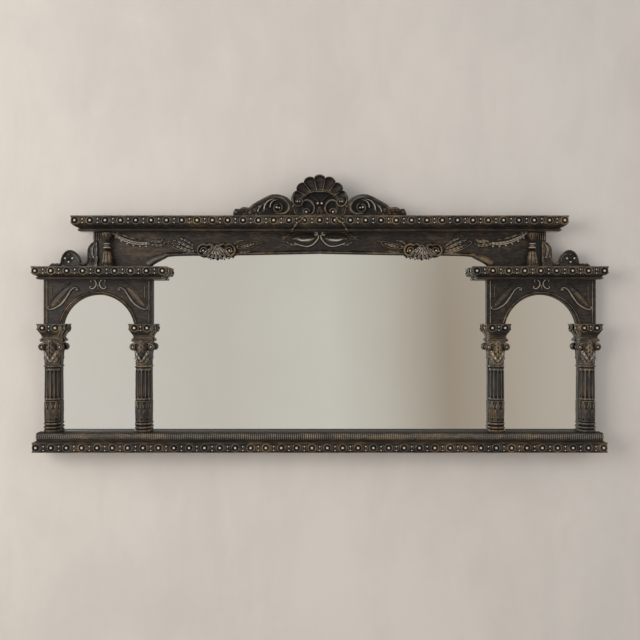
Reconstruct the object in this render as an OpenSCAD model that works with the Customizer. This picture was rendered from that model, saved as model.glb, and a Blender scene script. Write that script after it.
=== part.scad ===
// Architectural overmantel wall mirror: a wide centre pane under a flat-arched frieze,
// flanked by two arched bays on engaged columns. The wall is the plane y = 0, the front
// faces -y, and z = 0 is the underside of the base moulding. Depths are measured from the
// wall towards the room, so a depth d lies at y = -d.

/* [Overall] */
// Width over the side cornices
overall_w = 1524; // [1480:4:1640]
// Depth from the wall to the face of the cornices
overall_d = 84; // [80:1:100]

/* [Heights] */
// Height of the egg-and-dart base moulding
base_h = 30; // [26:1:40]
// Height of the reeded moulding that carries the columns
reed_h = 21; // [18:1:30]
// Height of a column, from its foot rings to its astragal
column_h = 179; // [165:2:245]
// Height of a capital with its abacus
capital_h = 72; // [66:1:84]
// Height of an impost block
impost_h = 38; // [32:1:46]
// Height of an arch panel that shows between imposts and side cornice
spandrel_h = 118; // [112:1:140]
// Height of a side cornice
side_cornice_h = 34; // [32:1:42]
// Height of the frieze between side and top cornices
frieze_h = 94; // [88:1:110]
// Height of the top cornice
top_cornice_h = 40; // [36:1:48]

/* [Bays] */
// Distance between the two column axes of a bay
column_pitch = 243; // [236:1:270]
// Diameter of a column
column_d = 42; // [38:1:46]
// Width of the stile behind a column
stile_w = 43; // [36:1:50]
// Distance from a column axis to the edge of its arch panel
panel_edge = 25; // [22:0.5:32]
// Side cornice overhang past the outer edge of the arch panel
cornice_overhang = 20; // [14:1:24]
// Side cornice overhang past the inner edge of the arch panel
inner_overhang = 46; // [30:1:54]
// Radius of the arch openings
arch_r = 98.8; // [90:0.2:100]
// Width of an impost block
impost_w = 67; // [62:1:78]

/* [Frieze and cornices] */
// Width of the frieze board
frieze_w = 1216; // [1180:4:1240]
// Top cornice overhang past the ends of the frieze board
top_overhang = 49.5; // [40:0.5:60]
// Rise of the flat arch cut in the frieze board
frieze_rise = 34; // [24:1:44]
// Spacing of the eggs along the mouldings
egg_pitch = 40.5; // [34:0.5:50]
// Radius of an egg
egg_r = 6; // [4.5:0.25:7]
// Spacing of the reeds
reed_pitch = 5.3; // [4:0.1:10]

/* [Crest] */
// Radius of the scallop shell
shell_r = 76; // [68:1:84]
// Number of flutes in the shell
shell_flutes = 7; // [5:2:9]
// Height of the shell centre over the top cornice
shell_rise = 35; // [30:1:40]
// Half width of the whole crest
crest_reach = 231; // [215:1:250]

/* [Boards and glass] */
// Thickness of the face boards
board_t = 12; // [9:0.5:16]
// Depth of the back frame behind the face boards
back_d = 22; // [20:0.5:26]
// Width of the back frame members
tongue_w = 22; // [16:1:26]
// Thickness of the mirror glass
glass_t = 4; // [3:0.5:6]
// Thickness of the backing boards
backing_t = 3; // [2:0.5:5]
// Lap of the glass behind the face boards
glass_lap = 10; // [6:1:12]
// Gap round the glass in its rebate
glass_gap = 1.5; // [0.5:0.25:3]
// Width of the retaining beads behind the glass
bead_w = 8; // [6:1:12]

/* [Hangers] */
// Distance between the two hangers
hanger_pitch = 600; // [400:10:800]
// Wire diameter of a hanger ring
ring_wire = 4; // [3:0.5:5]
// Width inside a hanger ring
ring_w = 28; // [24:1:36]
// Length of a hanger ring from its pivot
ring_l = 24; // [20:1:28]
// Depth of the pocket cut for a hanger
pocket_d = 9; // [8.5:0.5:12]
// Thickness of a hanger strap
strap_t = 1.6; // [1.2:0.1:2]
// Radial clearance between ring and strap eye
ring_gap = 0.05; // [0.02:0.01:0.1]

/* [Hidden] */

// Colours of the finishes
ebony = [0.13, 0.11, 0.10];
umber = [0.24, 0.17, 0.12];
rubbed_gold = [0.50, 0.40, 0.25];
silvering = [0.72, 0.74, 0.75];
hardboard = [0.45, 0.33, 0.22];
steel = [0.62, 0.62, 0.63];

// Levels from the underside upwards
z_reed = base_h;
z_foot = base_h + reed_h;
z_capital = z_foot + column_h;
z_impost = z_capital + capital_h;
z_panel = z_impost + impost_h;
z_side = z_panel + spandrel_h;
z_frieze = z_side + side_cornice_h;
z_top = z_frieze + frieze_h;
z_crest = z_top + top_cornice_h;
z_shell = z_crest + shell_rise;

// Depths from the wall outwards
d_glass = back_d;
d_board = back_d + board_t;
column_axis_d = d_board + 6;
reed_d = overall_d - 6;
baluster_axis_d = d_board + 16;
relief_t = 8;
lip_t = 5;
lip_w = 6;

// Places across the width
half_w = overall_w / 2;
panel_out = half_w - cornice_overhang;
column_out = panel_out - panel_edge;
column_in = column_out - column_pitch;
panel_in = column_in - panel_edge;
cornice_in = panel_in - inner_overhang;
bay_x = (column_in + column_out) / 2;
base_half = half_w - 2;
reed_half = half_w - 12;
frieze_half = frieze_w / 2;
top_half = frieze_half + top_overhang;
z_arch = z_panel - 20;
z_glass = z_foot - glass_lap;
z_bay_rail = z_arch + arch_r + glass_lap + glass_gap;
z_top_rail = z_frieze + frieze_rise + glass_lap + glass_gap + 12;

// Parts of the column
column_r = column_d / 2;
ring_r = column_r + 1.5;
drum_h = 57;
foot_h = 28;
astragal_h = 6;

// Points on a circle arc
function arc(x, z, r, a0, a1, n) =
    [for (i = [0 : n]) let (a = a0 + (a1 - a0) * i / n) [x + r * cos(a), z + r * sin(a)]];

// Points on a spiral whose radius changes evenly with the angle
function coil(x, z, r0, r1, a0, a1, n) =
    [for (i = [0 : n])
        let (t = i / n, a = a0 + (a1 - a0) * t, r = r0 + (r1 - r0) * t)
            [x + r * cos(a), z + r * sin(a)]];

// One point of a smooth curve through four neighbouring points
function blend_point(a, b, c, d, t) =
    0.5 * (2 * b + (c - a) * t + (2 * a - 5 * b + 4 * c - d) * t * t
        + (3 * b - a - 3 * c + d) * t * t * t);

// A smooth curve through the given points, with n steps from each to the next
function smooth(p, n) =
    let (m = len(p) - 1)
    concat([for (i = [0 : m - 1], k = [0 : n - 1])
        blend_point(p[max(i - 1, 0)], p[i], p[i + 1], p[min(i + 2, m)], k / n)], [p[m]]);

// Unit normal of a curve at its i-th point
function normal_at(p, i) =
    let (m = len(p) - 1, v = p[min(i + 1, m)] - p[max(i - 1, 0)])
    [-v[1], v[0]] / norm(v);

// A drawing in its own units, placed at x and z and enlarged by k
function drawn(points, x, z, k) = [for (p = points) [x + k * p[0], z + k * p[1]]];

// Outline of a band along a curve whose half width runs from w0 to w1
function band(p, w0, w1) =
    let (m = len(p) - 1)
    concat([for (i = [0 : m]) p[i] + normal_at(p, i) * (w0 + (w1 - w0) * i / m)],
        [for (i = [m : -1 : 0]) p[i] - normal_at(p, i) * (w0 + (w1 - w0) * i / m)]);

// Raises a drawing in the x-z plane from depth d0 to depth d1
module raised(d0, d1) {
    translate([0, -d0, 0])
        rotate([90, 0, 0])
            linear_extrude(d1 - d0)
                children();
}

// Runs a profile of depth and height points along x from x0 to x1
module run_x(x0, x1, profile) {
    translate([x0, 0, 0])
        rotate([90, 0, 90])
            linear_extrude(x1 - x0)
                polygon([for (p = profile) [-p[0], p[1]]]);
}

// A box from its near left low corner to its far right high corner, with depths
module block(x0, x1, d0, d1, z0, z1) {
    translate([x0, -d1, z0])
        cube([x1 - x0, d1 - d0, z1 - z0]);
}

// A round boss on a face at depth d, of radius r and height h
module dome(x, d, z, r, h) {
    translate([x, -d, z])
        rotate([90, 0, 0])
            rotate_extrude($fn = 32)
                polygon(concat([[0, 0]], [for (a = [0 : 15 : 90]) [r * cos(a), h * sin(a)]]));
}

// Draws the same piece on the right, from one that is drawn on the left
module on_right() {
    mirror([1, 0, 0])
        children();
}

// A moulding with mitred returns at both ends. Each section point is an inset from the
// outermost face and a height over z0
module mitred_run(x0, x1, d0, d1, z0, section) {
    last = len(section) - 1;
    intersection() {
        run_x(x0, x1, concat([[d0, z0 + section[0][1]]],
            [for (p = section) [d1 - p[0], z0 + p[1]]], [[d0, z0 + section[last][1]]]));
        raised(d0, d1)
            polygon(concat([for (p = section) [x1 - p[0], z0 + p[1]]],
                [for (i = [last : -1 : 0]) [x0 + section[i][0], z0 + section[i][1]]]));
    }
}

// Section of a cornice: a bead, a groove, a sloping ovolo, an upright band and a top fillet
bead_h = 7;
function cornice_section(h, upright_h, slope_w) =
    let (z1 = h - upright_h, z0 = bead_h + 2.5)
    concat([[slope_w + 5, 0]],
        [for (p = arc(slope_w + 4, bead_h / 2, bead_h / 2, -80, 80, 4))
            [2 * (slope_w + 4) - p[0], p[1]]],
        [[slope_w + 3.5, bead_h], [slope_w + 3.5, z0 - 1], [slope_w, z0]],
        [for (i = [1 : 5])
            let (a = 90 * i / 6)
                [slope_w * (1 - sin(a)) * 0.55 + slope_w * (1 - i / 6) * 0.45,
                z0 + (z1 - z0) * (0.55 * (1 - cos(a)) + 0.45 * i / 6)]],
        [[0, z1], [0, h - 1.5], [1.5, h]]);

// Section of the base moulding: a foot fillet, the egg band and a weathered top
function base_section(h) =
    [[0, 0], [0, h - 5], [2, h - 3], [6, h - 2], [8, h]];

// Section of an impost: a swept neck under an egg band
function impost_section(h, neck, band_h) =
    concat([[neck, 0], [neck, 2], [neck - 1.5, 3]],
        [for (i = [0 : 5])
            let (t = i / 5)
                [(neck - 2.5) * (1 - t * t) + 1.2, 4 + (h - band_h - 5) * t]],
        [[0, h - band_h], [0, h - 1.2], [1.2, h]]);

// An egg sits in a dish with a raised rim that reaches back into the moulding
rim_in = egg_r + 2.2;
rim_out = egg_r + 4.8;
rim_proud = 1.3;
rim_back = 7;
rim_soft = 0.8;
egg_sunk = 1.2;
dish_depth = 3.5;

// The dish that is sunk round an egg
module egg_dish(x, d, z) {
    translate([x, -d - 1, z])
        rotate([-90, 0, 0])
            cylinder(h = dish_depth + 1, r = rim_in, $fn = 48);
}

// One egg and its rim
module egg(x, d, z) {
    translate([x, -d + egg_sunk, z])
        sphere(r = egg_r, $fn = 40);
    translate([x, -d, z])
        rotate([90, 0, 0])
            rotate_extrude($fn = 48)
                polygon([[rim_in, -rim_back], [rim_in, rim_proud - rim_soft],
                    [rim_in + rim_soft, rim_proud], [rim_out - rim_soft, rim_proud],
                    [rim_out, rim_proud - rim_soft], [rim_out, -rim_back]]);
}

// The dart between two eggs, as two stacked beads
module dart(x, d, z) {
    for (s = [-1, 1])
        translate([x, -d + 0.4, z + s * egg_r * 0.62])
            sphere(r = egg_r * 0.42, $fn = 24);
}

// Number of steps between eggs that fits a length
function egg_steps(length) = max(1, round(length / egg_pitch));

// Cuts dishes in a moulding and sets eggs and darts from x0 to x1
module egg_and_dart(x0, x1, d, z) {
    n = egg_steps(x1 - x0);
    step = (x1 - x0) / n;
    difference() {
        children();
        for (i = [0 : n])
            egg_dish(x0 + i * step, d, z);
    }
    for (i = [0 : n])
        egg(x0 + i * step, d, z);
    for (i = [0 : n - 1])
        dart(x0 + (i + 0.5) * step, d, z);
}

// Glass, backing and the beads that hold them

module pane(x0, x1, z1) {
    block(x0, x1, d_glass - glass_t, d_glass, z_glass, z1);
}

module backing(x0, x1, z1) {
    block(x0, x1, d_glass - glass_t - backing_t, d_glass - glass_t, z_glass, z1);
}

center_half = column_in - tongue_w / 2 - glass_gap;
center_top = z_top_rail - glass_gap;
bay_in = column_in + tongue_w / 2 + glass_gap;
bay_out = column_out - tongue_w / 2 - glass_gap;
bay_top = z_bay_rail - glass_gap;

module center_glass() {
    color(silvering)
        pane(-center_half, center_half, center_top);
}

module left_glass() {
    color(silvering)
        pane(-bay_out, -bay_in, bay_top);
}

module right_glass() {
    color(silvering)
        pane(bay_in, bay_out, bay_top);
}

module center_backing() {
    color(hardboard)
        backing(-center_half, center_half, center_top);
}

module left_backing() {
    color(hardboard)
        backing(-bay_out, -bay_in, bay_top);
}

module right_backing() {
    color(hardboard)
        backing(bay_in, bay_out, bay_top);
}

// Four beads round one rebate, lying on the backing and against the back frame
module bead_frame(x0, x1, z1) {
    d1 = d_glass - glass_t - backing_t;
    d0 = d1 - bead_w;
    butt = bead_w + 0.3;
    block(x0, x0 + bead_w, d0, d1, z_glass, z1);
    block(x1 - bead_w, x1, d0, d1, z_glass, z1);
    block(x0 + butt, x1 - butt, d0, d1, z_glass, z_glass + bead_w);
    block(x0 + butt, x1 - butt, d0, d1, z1 - bead_w, z1);
}

module retaining_beads() {
    color(umber) {
        bead_frame(-column_in + tongue_w / 2, column_in - tongue_w / 2, z_top_rail);
        for (s = [0, 1])
            mirror([s, 0, 0])
                bead_frame(column_in + tongue_w / 2, column_out - tongue_w / 2, z_bay_rail);
    }
}

// Back frame and face boards

module bottom_rail() {
    color(umber) {
        block(-panel_out, panel_out, 0, back_d, 0, z_glass);
        block(-panel_out, panel_out, back_d, d_board, 0, z_foot);
    }
}

module stile(x, top) {
    block(x - stile_w / 2, x + stile_w / 2, back_d, d_board, z_foot, z_panel);
    block(x - tongue_w / 2, x + tongue_w / 2, 0, back_d, z_glass, top);
}

module left_outer_stile() {
    color(umber)
        stile(-column_out, z_frieze);
}

module left_inner_stile() {
    color(umber)
        stile(-column_in, z_top_rail);
}

module right_inner_stile() {
    color(umber)
        stile(column_in, z_top_rail);
}

module right_outer_stile() {
    color(umber)
        stile(column_out, z_frieze);
}

hanger_z = z_crest - 36;
pocket_w = ring_w + 2 * ring_wire + 6;

module top_rail() {
    color(umber)
        difference() {
            block(-frieze_half + 10, frieze_half - 10, 0, back_d, z_top_rail, z_crest - 4);
            for (s = [-1, 1])
                block(s * hanger_pitch / 2 - pocket_w / 2, s * hanger_pitch / 2 + pocket_w / 2,
                    -1, pocket_d, z_top_rail - 1, hanger_z + ring_l + ring_wire);
        }
}

module side_rail() {
    block(-column_out + tongue_w / 2, -column_in - tongue_w / 2, 0, back_d,
        z_bay_rail, z_frieze);
}

module left_side_rail() {
    color(umber)
        side_rail();
}

module right_side_rail() {
    color(umber)
        on_right()
            side_rail();
}

// The board over one bay, with its round arch
module arch_panel() {
    raised(back_d, d_board)
        difference() {
            translate([-panel_out, z_panel])
                square([panel_out - panel_in, z_frieze - z_panel]);
            translate([-bay_x, z_arch])
                circle(r = arch_r, $fn = 96);
        }
}

module left_arch_panel() {
    color(ebony)
        arch_panel();
}

module right_arch_panel() {
    color(ebony)
        on_right()
            arch_panel();
}

// Right half of the lower edge of the frieze, from the crown to the shoulder
shoulder_x = panel_in + 12;
function frieze_edge(drop) = smooth([
    [0, z_frieze + frieze_rise + 4 - drop],
    [shoulder_x - 250, z_frieze + frieze_rise - drop],
    [shoulder_x - 100, z_frieze + frieze_rise - 1.5 - drop],
    [shoulder_x - 54, z_frieze + frieze_rise - 4 - drop],
    [shoulder_x - 42, z_frieze + frieze_rise - 9 - drop],
    [shoulder_x - 16, z_frieze + 11.5 - drop],
    [shoulder_x, z_frieze - drop]], 4);

module frieze_board() {
    color(ebony)
        raised(back_d, d_board)
            polygon(concat(
                [for (p = frieze_edge(0)) p],
                [[frieze_half, z_frieze], [frieze_half, z_crest],
                [-frieze_half, z_crest], [-frieze_half, z_frieze]],
                [for (i = [len(frieze_edge(0)) - 1 : -1 : 1])
                    [-frieze_edge(0)[i][0], frieze_edge(0)[i][1]]]));
}

// Cornices and base

side_band_h = 17;
side_slope = 10;
side_egg_z = z_frieze - 12;
top_band_h = 18;
top_slope = 15;
top_egg_z = z_crest - 12.8;
base_egg_z = 13;
end_inset = 11.5;

module side_cornice() {
    egg_and_dart(-half_w + end_inset, -cornice_in - end_inset, overall_d, side_egg_z)
        mitred_run(-half_w, -cornice_in, d_board, overall_d, z_side,
            cornice_section(side_cornice_h, side_band_h, side_slope));
}

module left_side_cornice() {
    color(ebony)
        side_cornice();
}

module right_side_cornice() {
    color(ebony)
        on_right()
            side_cornice();
}

module top_cornice() {
    color(ebony)
        egg_and_dart(-top_half + end_inset, top_half - end_inset, overall_d, top_egg_z)
            mitred_run(-top_half, top_half, d_board, overall_d, z_top,
                cornice_section(top_cornice_h, top_band_h, top_slope));
}

module base_moulding() {
    color(ebony)
        egg_and_dart(-base_half + end_inset, base_half - end_inset, overall_d, base_egg_z)
            mitred_run(-base_half, base_half, d_board, overall_d, 0, base_section(base_h));
}

// The reeds stand upright along the front of the moulding
reed_n = round(2 * reed_half / reed_pitch);
module reeded_moulding() {
    step = 2 * reed_half / reed_n;
    color(ebony) {
        block(-reed_half, reed_half, d_board, reed_d - 2, z_reed, z_reed + 5);
        block(-reed_half, reed_half, d_board, reed_d - 2, z_foot - 2, z_foot);
        translate([0, 0, z_reed + 5])
            linear_extrude(reed_h - 7)
                polygon(concat([[reed_half, -d_board], [-reed_half, -d_board]],
                    [for (i = [0 : reed_n - 1], k = [0, 1])
                        [-reed_half + (i + 0.25 + k * 0.5) * step, -reed_d + 1.6 * k]],
                    [[reed_half, -reed_d + 1.6]]));
    }
}

// Columns, capitals and imposts

// Half profile of a column: foot rings, drum, groove, shaft and astragal
function column_profile() = concat(
    [[0, 0], [ring_r, 0]],
    arc(ring_r - 1, 4, 2.6, -60, 60, 4),
    [[column_r - 1.5, 8]],
    arc(ring_r - 1, 12.5, 3, -60, 60, 4),
    [[column_r - 1.5, 17]],
    arc(ring_r - 1.4, 22.5, 3, -60, 60, 4),
    [[column_r, foot_h], [column_r, foot_h + drum_h - 2], [column_r - 1.6, foot_h + drum_h - 1],
    [column_r - 1.6, foot_h + drum_h + 1], [column_r, foot_h + drum_h + 2],
    [column_r - 0.8, column_h - astragal_h - 3], [column_r - 1.5, column_h - astragal_h]],
    arc(column_r - 1, column_h - astragal_h / 2, astragal_h / 2, -70, 70, 4),
    [[column_r - 1, column_h], [0, column_h]]);

module column(x) {
    flute_n = 12;
    intersection() {
        difference() {
            translate([x, -column_axis_d, z_foot])
                rotate_extrude($fn = 64)
                    polygon(column_profile());
            for (i = [0 : flute_n - 1])
                translate([x, -column_axis_d, z_foot + foot_h + drum_h + 8])
                    rotate([0, 0, (i + 0.5) * 360 / flute_n])
                        translate([column_r + 1.2, 0, 0])
                            cylinder(h = column_h - foot_h - drum_h - 22, r = 3, $fn = 16);
        }
        block(x - impost_w, x + impost_w, d_board, overall_d, z_foot, z_capital);
    }
}

module left_outer_column() {
    color(umber)
        column(-column_out);
}

module left_inner_column() {
    color(umber)
        column(-column_in);
}

module right_inner_column() {
    color(umber)
        column(column_in);
}

module right_outer_column() {
    color(umber)
        column(column_out);
}

// Half profile of the bell under the abacus
bell_top = capital_h - 9;
function bell_profile() = concat(
    [[0, 0], [column_r - 2, 0]],
    [for (i = [0 : 8]) let (t = i / 8) [column_r - 2.5 + 5 * t * t, 1 + (bell_top - 1) * t]],
    [[0, bell_top]]);

// An upright leaf whose tip curls forward from the bell
module bell_leaf(turn, width, height) {
    rotate([0, 0, turn])
        translate([0, -column_r + 1, 2])
            rotate([84, 0, 0])
                linear_extrude(4.5)
                    polygon(concat(
                        [[-width / 2, 0]],
                        [for (i = [0 : 6]) let (t = i / 6)
                            [-width / 2 * (1 - t) * (1 + 0.9 * t), height * t]],
                        [for (i = [5 : -1 : 0]) let (t = i / 6)
                            [width / 2 * (1 - t) * (1 + 0.9 * t), height * t]]));
}

// A volute: a round cushion with a raised spiral and an eye
module volute(x, d0, d1, z, r, turn) {
    raised(d0, d1)
        translate([x, z])
            circle(r = r, $fn = 32);
    raised(d1, d1 + 1.5)
        translate([x, z])
            polygon(band(coil(0, 0, r - 1, 2.4, turn, turn + 450 * sign(turn + 0.1), 24), 1, 0.7));
    raised(d1, d1 + 2.5)
        translate([x, z])
            circle(r = 1.8, $fn = 24);
}

module capital(x) {
    abacus_r = 27;
    volute_z = z_capital + 48;
    difference() {
        union() {
            translate([x, -column_axis_d, z_capital])
                rotate_extrude($fn = 64)
                    polygon(bell_profile());
            translate([x, -column_axis_d, z_capital]) {
                bell_leaf(0, 16, 52);
                bell_leaf(48, 15, 38);
                bell_leaf(-48, 15, 38);
            }
            for (s = [-1, 1])
                volute(x + s * 24, d_board, column_axis_d + 17, volute_z, 8.6, s * 90);
        }
        block(x - impost_w, x + impost_w, 0, d_board, 0, z_crest);
        block(x - impost_w, x + impost_w, 0, overall_d + 9, z_capital + bell_top, z_crest);
    }
    block(x - abacus_r, x + abacus_r, d_board, column_axis_d + abacus_r,
        z_capital + bell_top, z_impost - 3);
    block(x - abacus_r + 3, x + abacus_r - 3, d_board, column_axis_d + abacus_r - 3,
        z_impost - 3, z_impost);
}

module left_outer_capital() {
    color(umber)
        capital(-column_out);
}

module left_inner_capital() {
    color(umber)
        capital(-column_in);
}

module right_inner_capital() {
    color(umber)
        capital(column_in);
}

module right_outer_capital() {
    color(umber)
        capital(column_out);
}

impost_band_h = 22;
impost_neck = 11;

module impost(x) {
    face_d = column_axis_d + impost_w / 2;
    egg_and_dart(x - impost_w / 4, x + impost_w / 4, face_d, z_panel - impost_band_h / 2)
        mitred_run(x - impost_w / 2, x + impost_w / 2, d_board, face_d, z_impost,
            impost_section(impost_h, impost_neck, impost_band_h));
}

module left_outer_impost() {
    color(ebony)
        impost(-column_out);
}

module left_inner_impost() {
    color(ebony)
        impost(-column_in);
}

module right_inner_impost() {
    color(ebony)
        impost(column_in);
}

module right_outer_impost() {
    color(ebony)
        impost(column_out);
}

// Ornaments on the frieze ends

baluster_x = frieze_half - 40;

// Half profile of a baluster: a leafy foot, a bulb, rings, a neck and a leafy vase
function baluster_profile() =
    let (h = frieze_h)
    concat([[0, 0], [13, 0], [15, 3]],
        smooth([[15, 3], [12.5, h * 0.12], [11, h * 0.22], [9.5, h * 0.31], [9.5, h * 0.4],
            [5.5, h * 0.44]], 3),
        [[7.6, h * 0.45], [8.2, h * 0.47], [7.6, h * 0.49], [5, h * 0.51], [7, h * 0.53],
        [7.6, h * 0.55], [7, h * 0.57], [4.6, h * 0.6]],
        smooth([[4.6, h * 0.6], [5.5, h * 0.66], [8.5, h * 0.75], [11, h * 0.86],
            [11.5, h * 0.93], [8, h]], 3),
        [[0, h]]);

module baluster() {
    translate([-baluster_x, -baluster_axis_d, z_frieze])
        rotate_extrude($fn = 48)
            polygon(baluster_profile());
}

module left_baluster() {
    color(ebony)
        baluster();
}

module right_baluster() {
    color(ebony)
        on_right()
            baluster();
}

// Drawings of a wing, from the frieze end outwards: a leaf, a dip and a hump over a flower
wing_k = frieze_h / 94;
wing_top = [[0, 66], [-3, 71], [-10, 62], [-18, 53], [-22.5, 36], [-24, 14], [-34, 5.5],
    [-41, 20], [-46, 36], [-57, 44], [-70, 45], [-82, 41], [-89, 30], [-95, 14], [-103, 6],
    [-113, 9], [-126, 7], [-132, 0]];
wing_roll = [[-5, 61], [-13, 50], [-18, 36], [-20, 15], [-27, 4.5], [-34, 2.8], [-41, 6],
    [-44.5, 18], [-50, 34], [-59, 40], [-70, 41], [-79, 37], [-85, 28], [-91, 13], [-99, 4],
    [-108, 3.5]];
wing_flower = [[-70, 21]];
petal_n = 5;
petal_r = 4.4;
petal_reach = 7.5;
roll_h = 5;
roll_w = 2.6;

module wing() {
    x = -frieze_half + 12;
    face_d = d_board + relief_t;
    flower = drawn(wing_flower, x, z_frieze, wing_k)[0];
    raised(d_board, face_d)
        polygon(concat([[x, z_frieze]], drawn(smooth(wing_top, 4), x, z_frieze, wing_k)));
    raised(face_d, face_d + roll_h)
        polygon(band(drawn(smooth(wing_roll, 4), x, z_frieze, wing_k), roll_w, roll_w));
    for (i = [0 : petal_n - 1])
        let (a = 90 + i * 360 / petal_n)
            translate([flower[0] + petal_reach * cos(a), -face_d,
                flower[1] + petal_reach * sin(a)])
                sphere(r = petal_r, $fn = 24);
    translate([flower[0], -face_d, flower[1]])
        sphere(r = 3.6, $fn = 24);
}

module left_wing() {
    color(ebony)
        wing();
}

module right_wing() {
    color(ebony)
        on_right()
            wing();
}

// Crest

crest_d = d_board + 18;
plate_t = 12;
scroll_in = shell_r * 0.92 - 2;

// Radius of the scalloped rim at an angle, and depth of the fluted face inside it
shell_span = 22.5 * shell_flutes;
function flute_phase(a) = (a - 90 + shell_span / 2) * 180 / (shell_span / shell_flutes);
function shell_rim(a) = shell_r * (0.90 + 0.10 * sqrt(abs(sin(flute_phase(a)))));
function shell_throat(a) = shell_r * (0.45 + 0.2 * cos(a) * cos(a));
function shell_radius(a, t) = shell_throat(a) + (shell_rim(a) - shell_throat(a)) * t;
function shell_face(a, t) =
    plate_t + 9 * t * (1 - 0.35 * t)
    - 5.5 * sqrt(t) * abs(sin(flute_phase(a))) * min(1, (1 - t) * 7)
    - (t > 0.97 ? 3.5 : 0);

shell_rows = [0, 0.12, 0.3, 0.48, 0.66, 0.8, 0.9, 0.96, 1];
module crest_shell() {
    cols = shell_flutes * 8;
    rows = len(shell_rows);
    front = [for (j = [0 : rows - 1], i = [0 : cols])
        let (a = 90 - shell_span / 2 + shell_span * i / cols, r = shell_radius(a, shell_rows[j]))
            [r * cos(a), -crest_d - shell_face(a, shell_rows[j]), z_shell + r * sin(a)]];
    back = [for (j = [0, rows - 1], i = [0 : cols])
        let (a = 90 - shell_span / 2 + shell_span * i / cols, r = shell_radius(a, shell_rows[j]))
            [r * cos(a), -crest_d, z_shell + r * sin(a)]];
    w = cols + 1;
    b = rows * w;
    quads = concat(
        [for (j = [0 : rows - 2], i = [0 : cols - 1])
            [j * w + i, j * w + i + 1, (j + 1) * w + i + 1, (j + 1) * w + i]],
        [for (i = [0 : cols - 1])
            [(rows - 1) * w + i, (rows - 1) * w + i + 1, b + w + i + 1, b + w + i]],
        [for (i = [0 : cols - 1]) [i + 1, i, b + i, b + i + 1]],
        [for (i = [0 : cols - 1]) [b + i, b + w + i, b + w + i + 1, b + i + 1]]);
    left_edge = concat([for (j = [0 : rows - 1]) j * w], [b + w, b]);
    right_edge = concat([b + cols, b + w + cols], [for (j = [rows - 1 : -1 : 0]) j * w + cols]);
    color(ebony)
        polyhedron(points = concat(front, back),
            faces = concat(
                [for (q = quads, k = [0, 1]) [q[0], q[k + 1], q[k + 2]]],
                [left_edge, right_edge]));
}

// Curve just inside the throat of the shell
function throat_line(gap, a0, a1, n) =
    [for (i = [0 : n])
        let (a = a0 + (a1 - a0) * i / n, r = shell_throat(a) - gap)
            [r * cos(a), z_shell + r * sin(a)]];

// The field under the shell, with its arched bead, ear volutes and two C-scrolls
module crest_base() {
    ear_r = shell_r * 0.13;
    curl_x = shell_r * 0.38;
    curl_z = z_crest + 16;
    base_half_w = scroll_in + 2;
    color(ebony) {
        raised(crest_d - 4, crest_d)
            polygon(concat([[base_half_w, z_crest], [-base_half_w, z_crest]],
                arc(0, z_shell, shell_r * 0.86, 178, 2, 20)));
        raised(crest_d, crest_d + plate_t - 2)
            polygon(concat([[shell_r * 0.62, z_crest], [-shell_r * 0.62, z_crest]],
                throat_line(0.4, 168, 12, 20)));
    }
    color(umber) {
        raised(crest_d + plate_t - 2, crest_d + plate_t + 6)
            polygon(band(throat_line(3, 150, 30, 16), 2.4, 2.4));
        for (s = [-1, 1]) {
            volute(s * shell_r * 0.78, crest_d, crest_d + plate_t + 4, z_shell - 2, ear_r,
                s * 90);
            raised(crest_d + plate_t - 2, crest_d + plate_t + 5)
                polygon(band(coil(s * curl_x, curl_z, 14, 4, 90 + s * 70, 90 - s * 320, 30),
                    3, 1.8));
            translate([s * curl_x, -crest_d - plate_t, curl_z])
                sphere(r = 4, $fn = 24);
            translate([s * 5.4, -crest_d - plate_t, z_shell + 2])
                sphere(r = 4.4, $fn = 24);
        }
    }
}

// Drawings of a crest scroll from its leafy tail inwards, between the reach and the shell
crest_k = (crest_reach - scroll_in) / 163;
crest_top = [[0, 9], [7, 20], [17, 19], [28, 24], [44, 23], [55, 32], [70, 41], [97, 55],
    [112, 58], [128, 56], [145, 48], [157, 30], [163, 6]];
crest_eye = [[120, 24]];
crest_leaves = [
    [[93, 38], [72, 30], [50, 16], [22, 6]],
    [[102, 40], [90, 20], [70, 6]]];

module crest_scroll() {
    plate_d = crest_d + 9;
    eye = drawn(crest_eye, -crest_reach, z_crest, crest_k)[0];
    raised(crest_d, plate_d)
        polygon(concat([[-scroll_in, z_crest], [-crest_reach, z_crest]],
            drawn(smooth(crest_top, 4), -crest_reach, z_crest, crest_k)));
    raised(plate_d, plate_d + 8)
        polygon(band(coil(eye[0], eye[1], 30 * crest_k, 6 * crest_k, 150, -420, 48), 3.6, 2));
    for (leaf = crest_leaves)
        raised(plate_d, plate_d + 6)
            polygon(band(drawn(smooth(leaf, 5), -crest_reach, z_crest, crest_k), 3.8, 2));
    translate([eye[0], -plate_d - 3, eye[1]])
        sphere(r = 6.5 * crest_k, $fn = 32);
}

module left_crest_scroll() {
    color(ebony)
        crest_scroll();
}

module right_crest_scroll() {
    color(ebony)
        on_right()
            crest_scroll();
}

// Ornaments on the frieze

// All drawings on the frieze are enlarged together about the middle of the mirror
ornament_k = baluster_x / 568;
festoon_line = [[-554, -6], [-528, -20], [-498, -31], [-464, -35], [-436, -32]];
festoon_curl = [[-428, -28]];

// A husk festoon: a sagging band with husks along it, ending in a small curl
module festoon() {
    line = drawn(smooth(festoon_line, 6), 0, z_top, ornament_k);
    curl = drawn(festoon_curl, 0, z_top, ornament_k)[0];
    raised(d_board, d_board + 4)
        polygon(band(line, 4.5, 4.5));
    for (i = [2 : 3 : len(line) - 3])
        dome(line[i][0], d_board, line[i][1], 5, 7);
    raised(d_board, d_board + 5)
        polygon(band(coil(curl[0], curl[1], 15 * ornament_k, 4, 200, -160, 24), 3, 1.6));
}

module left_festoon() {
    color(rubbed_gold)
        festoon();
}

module right_festoon() {
    color(rubbed_gold)
        on_right()
            festoon();
}

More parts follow.
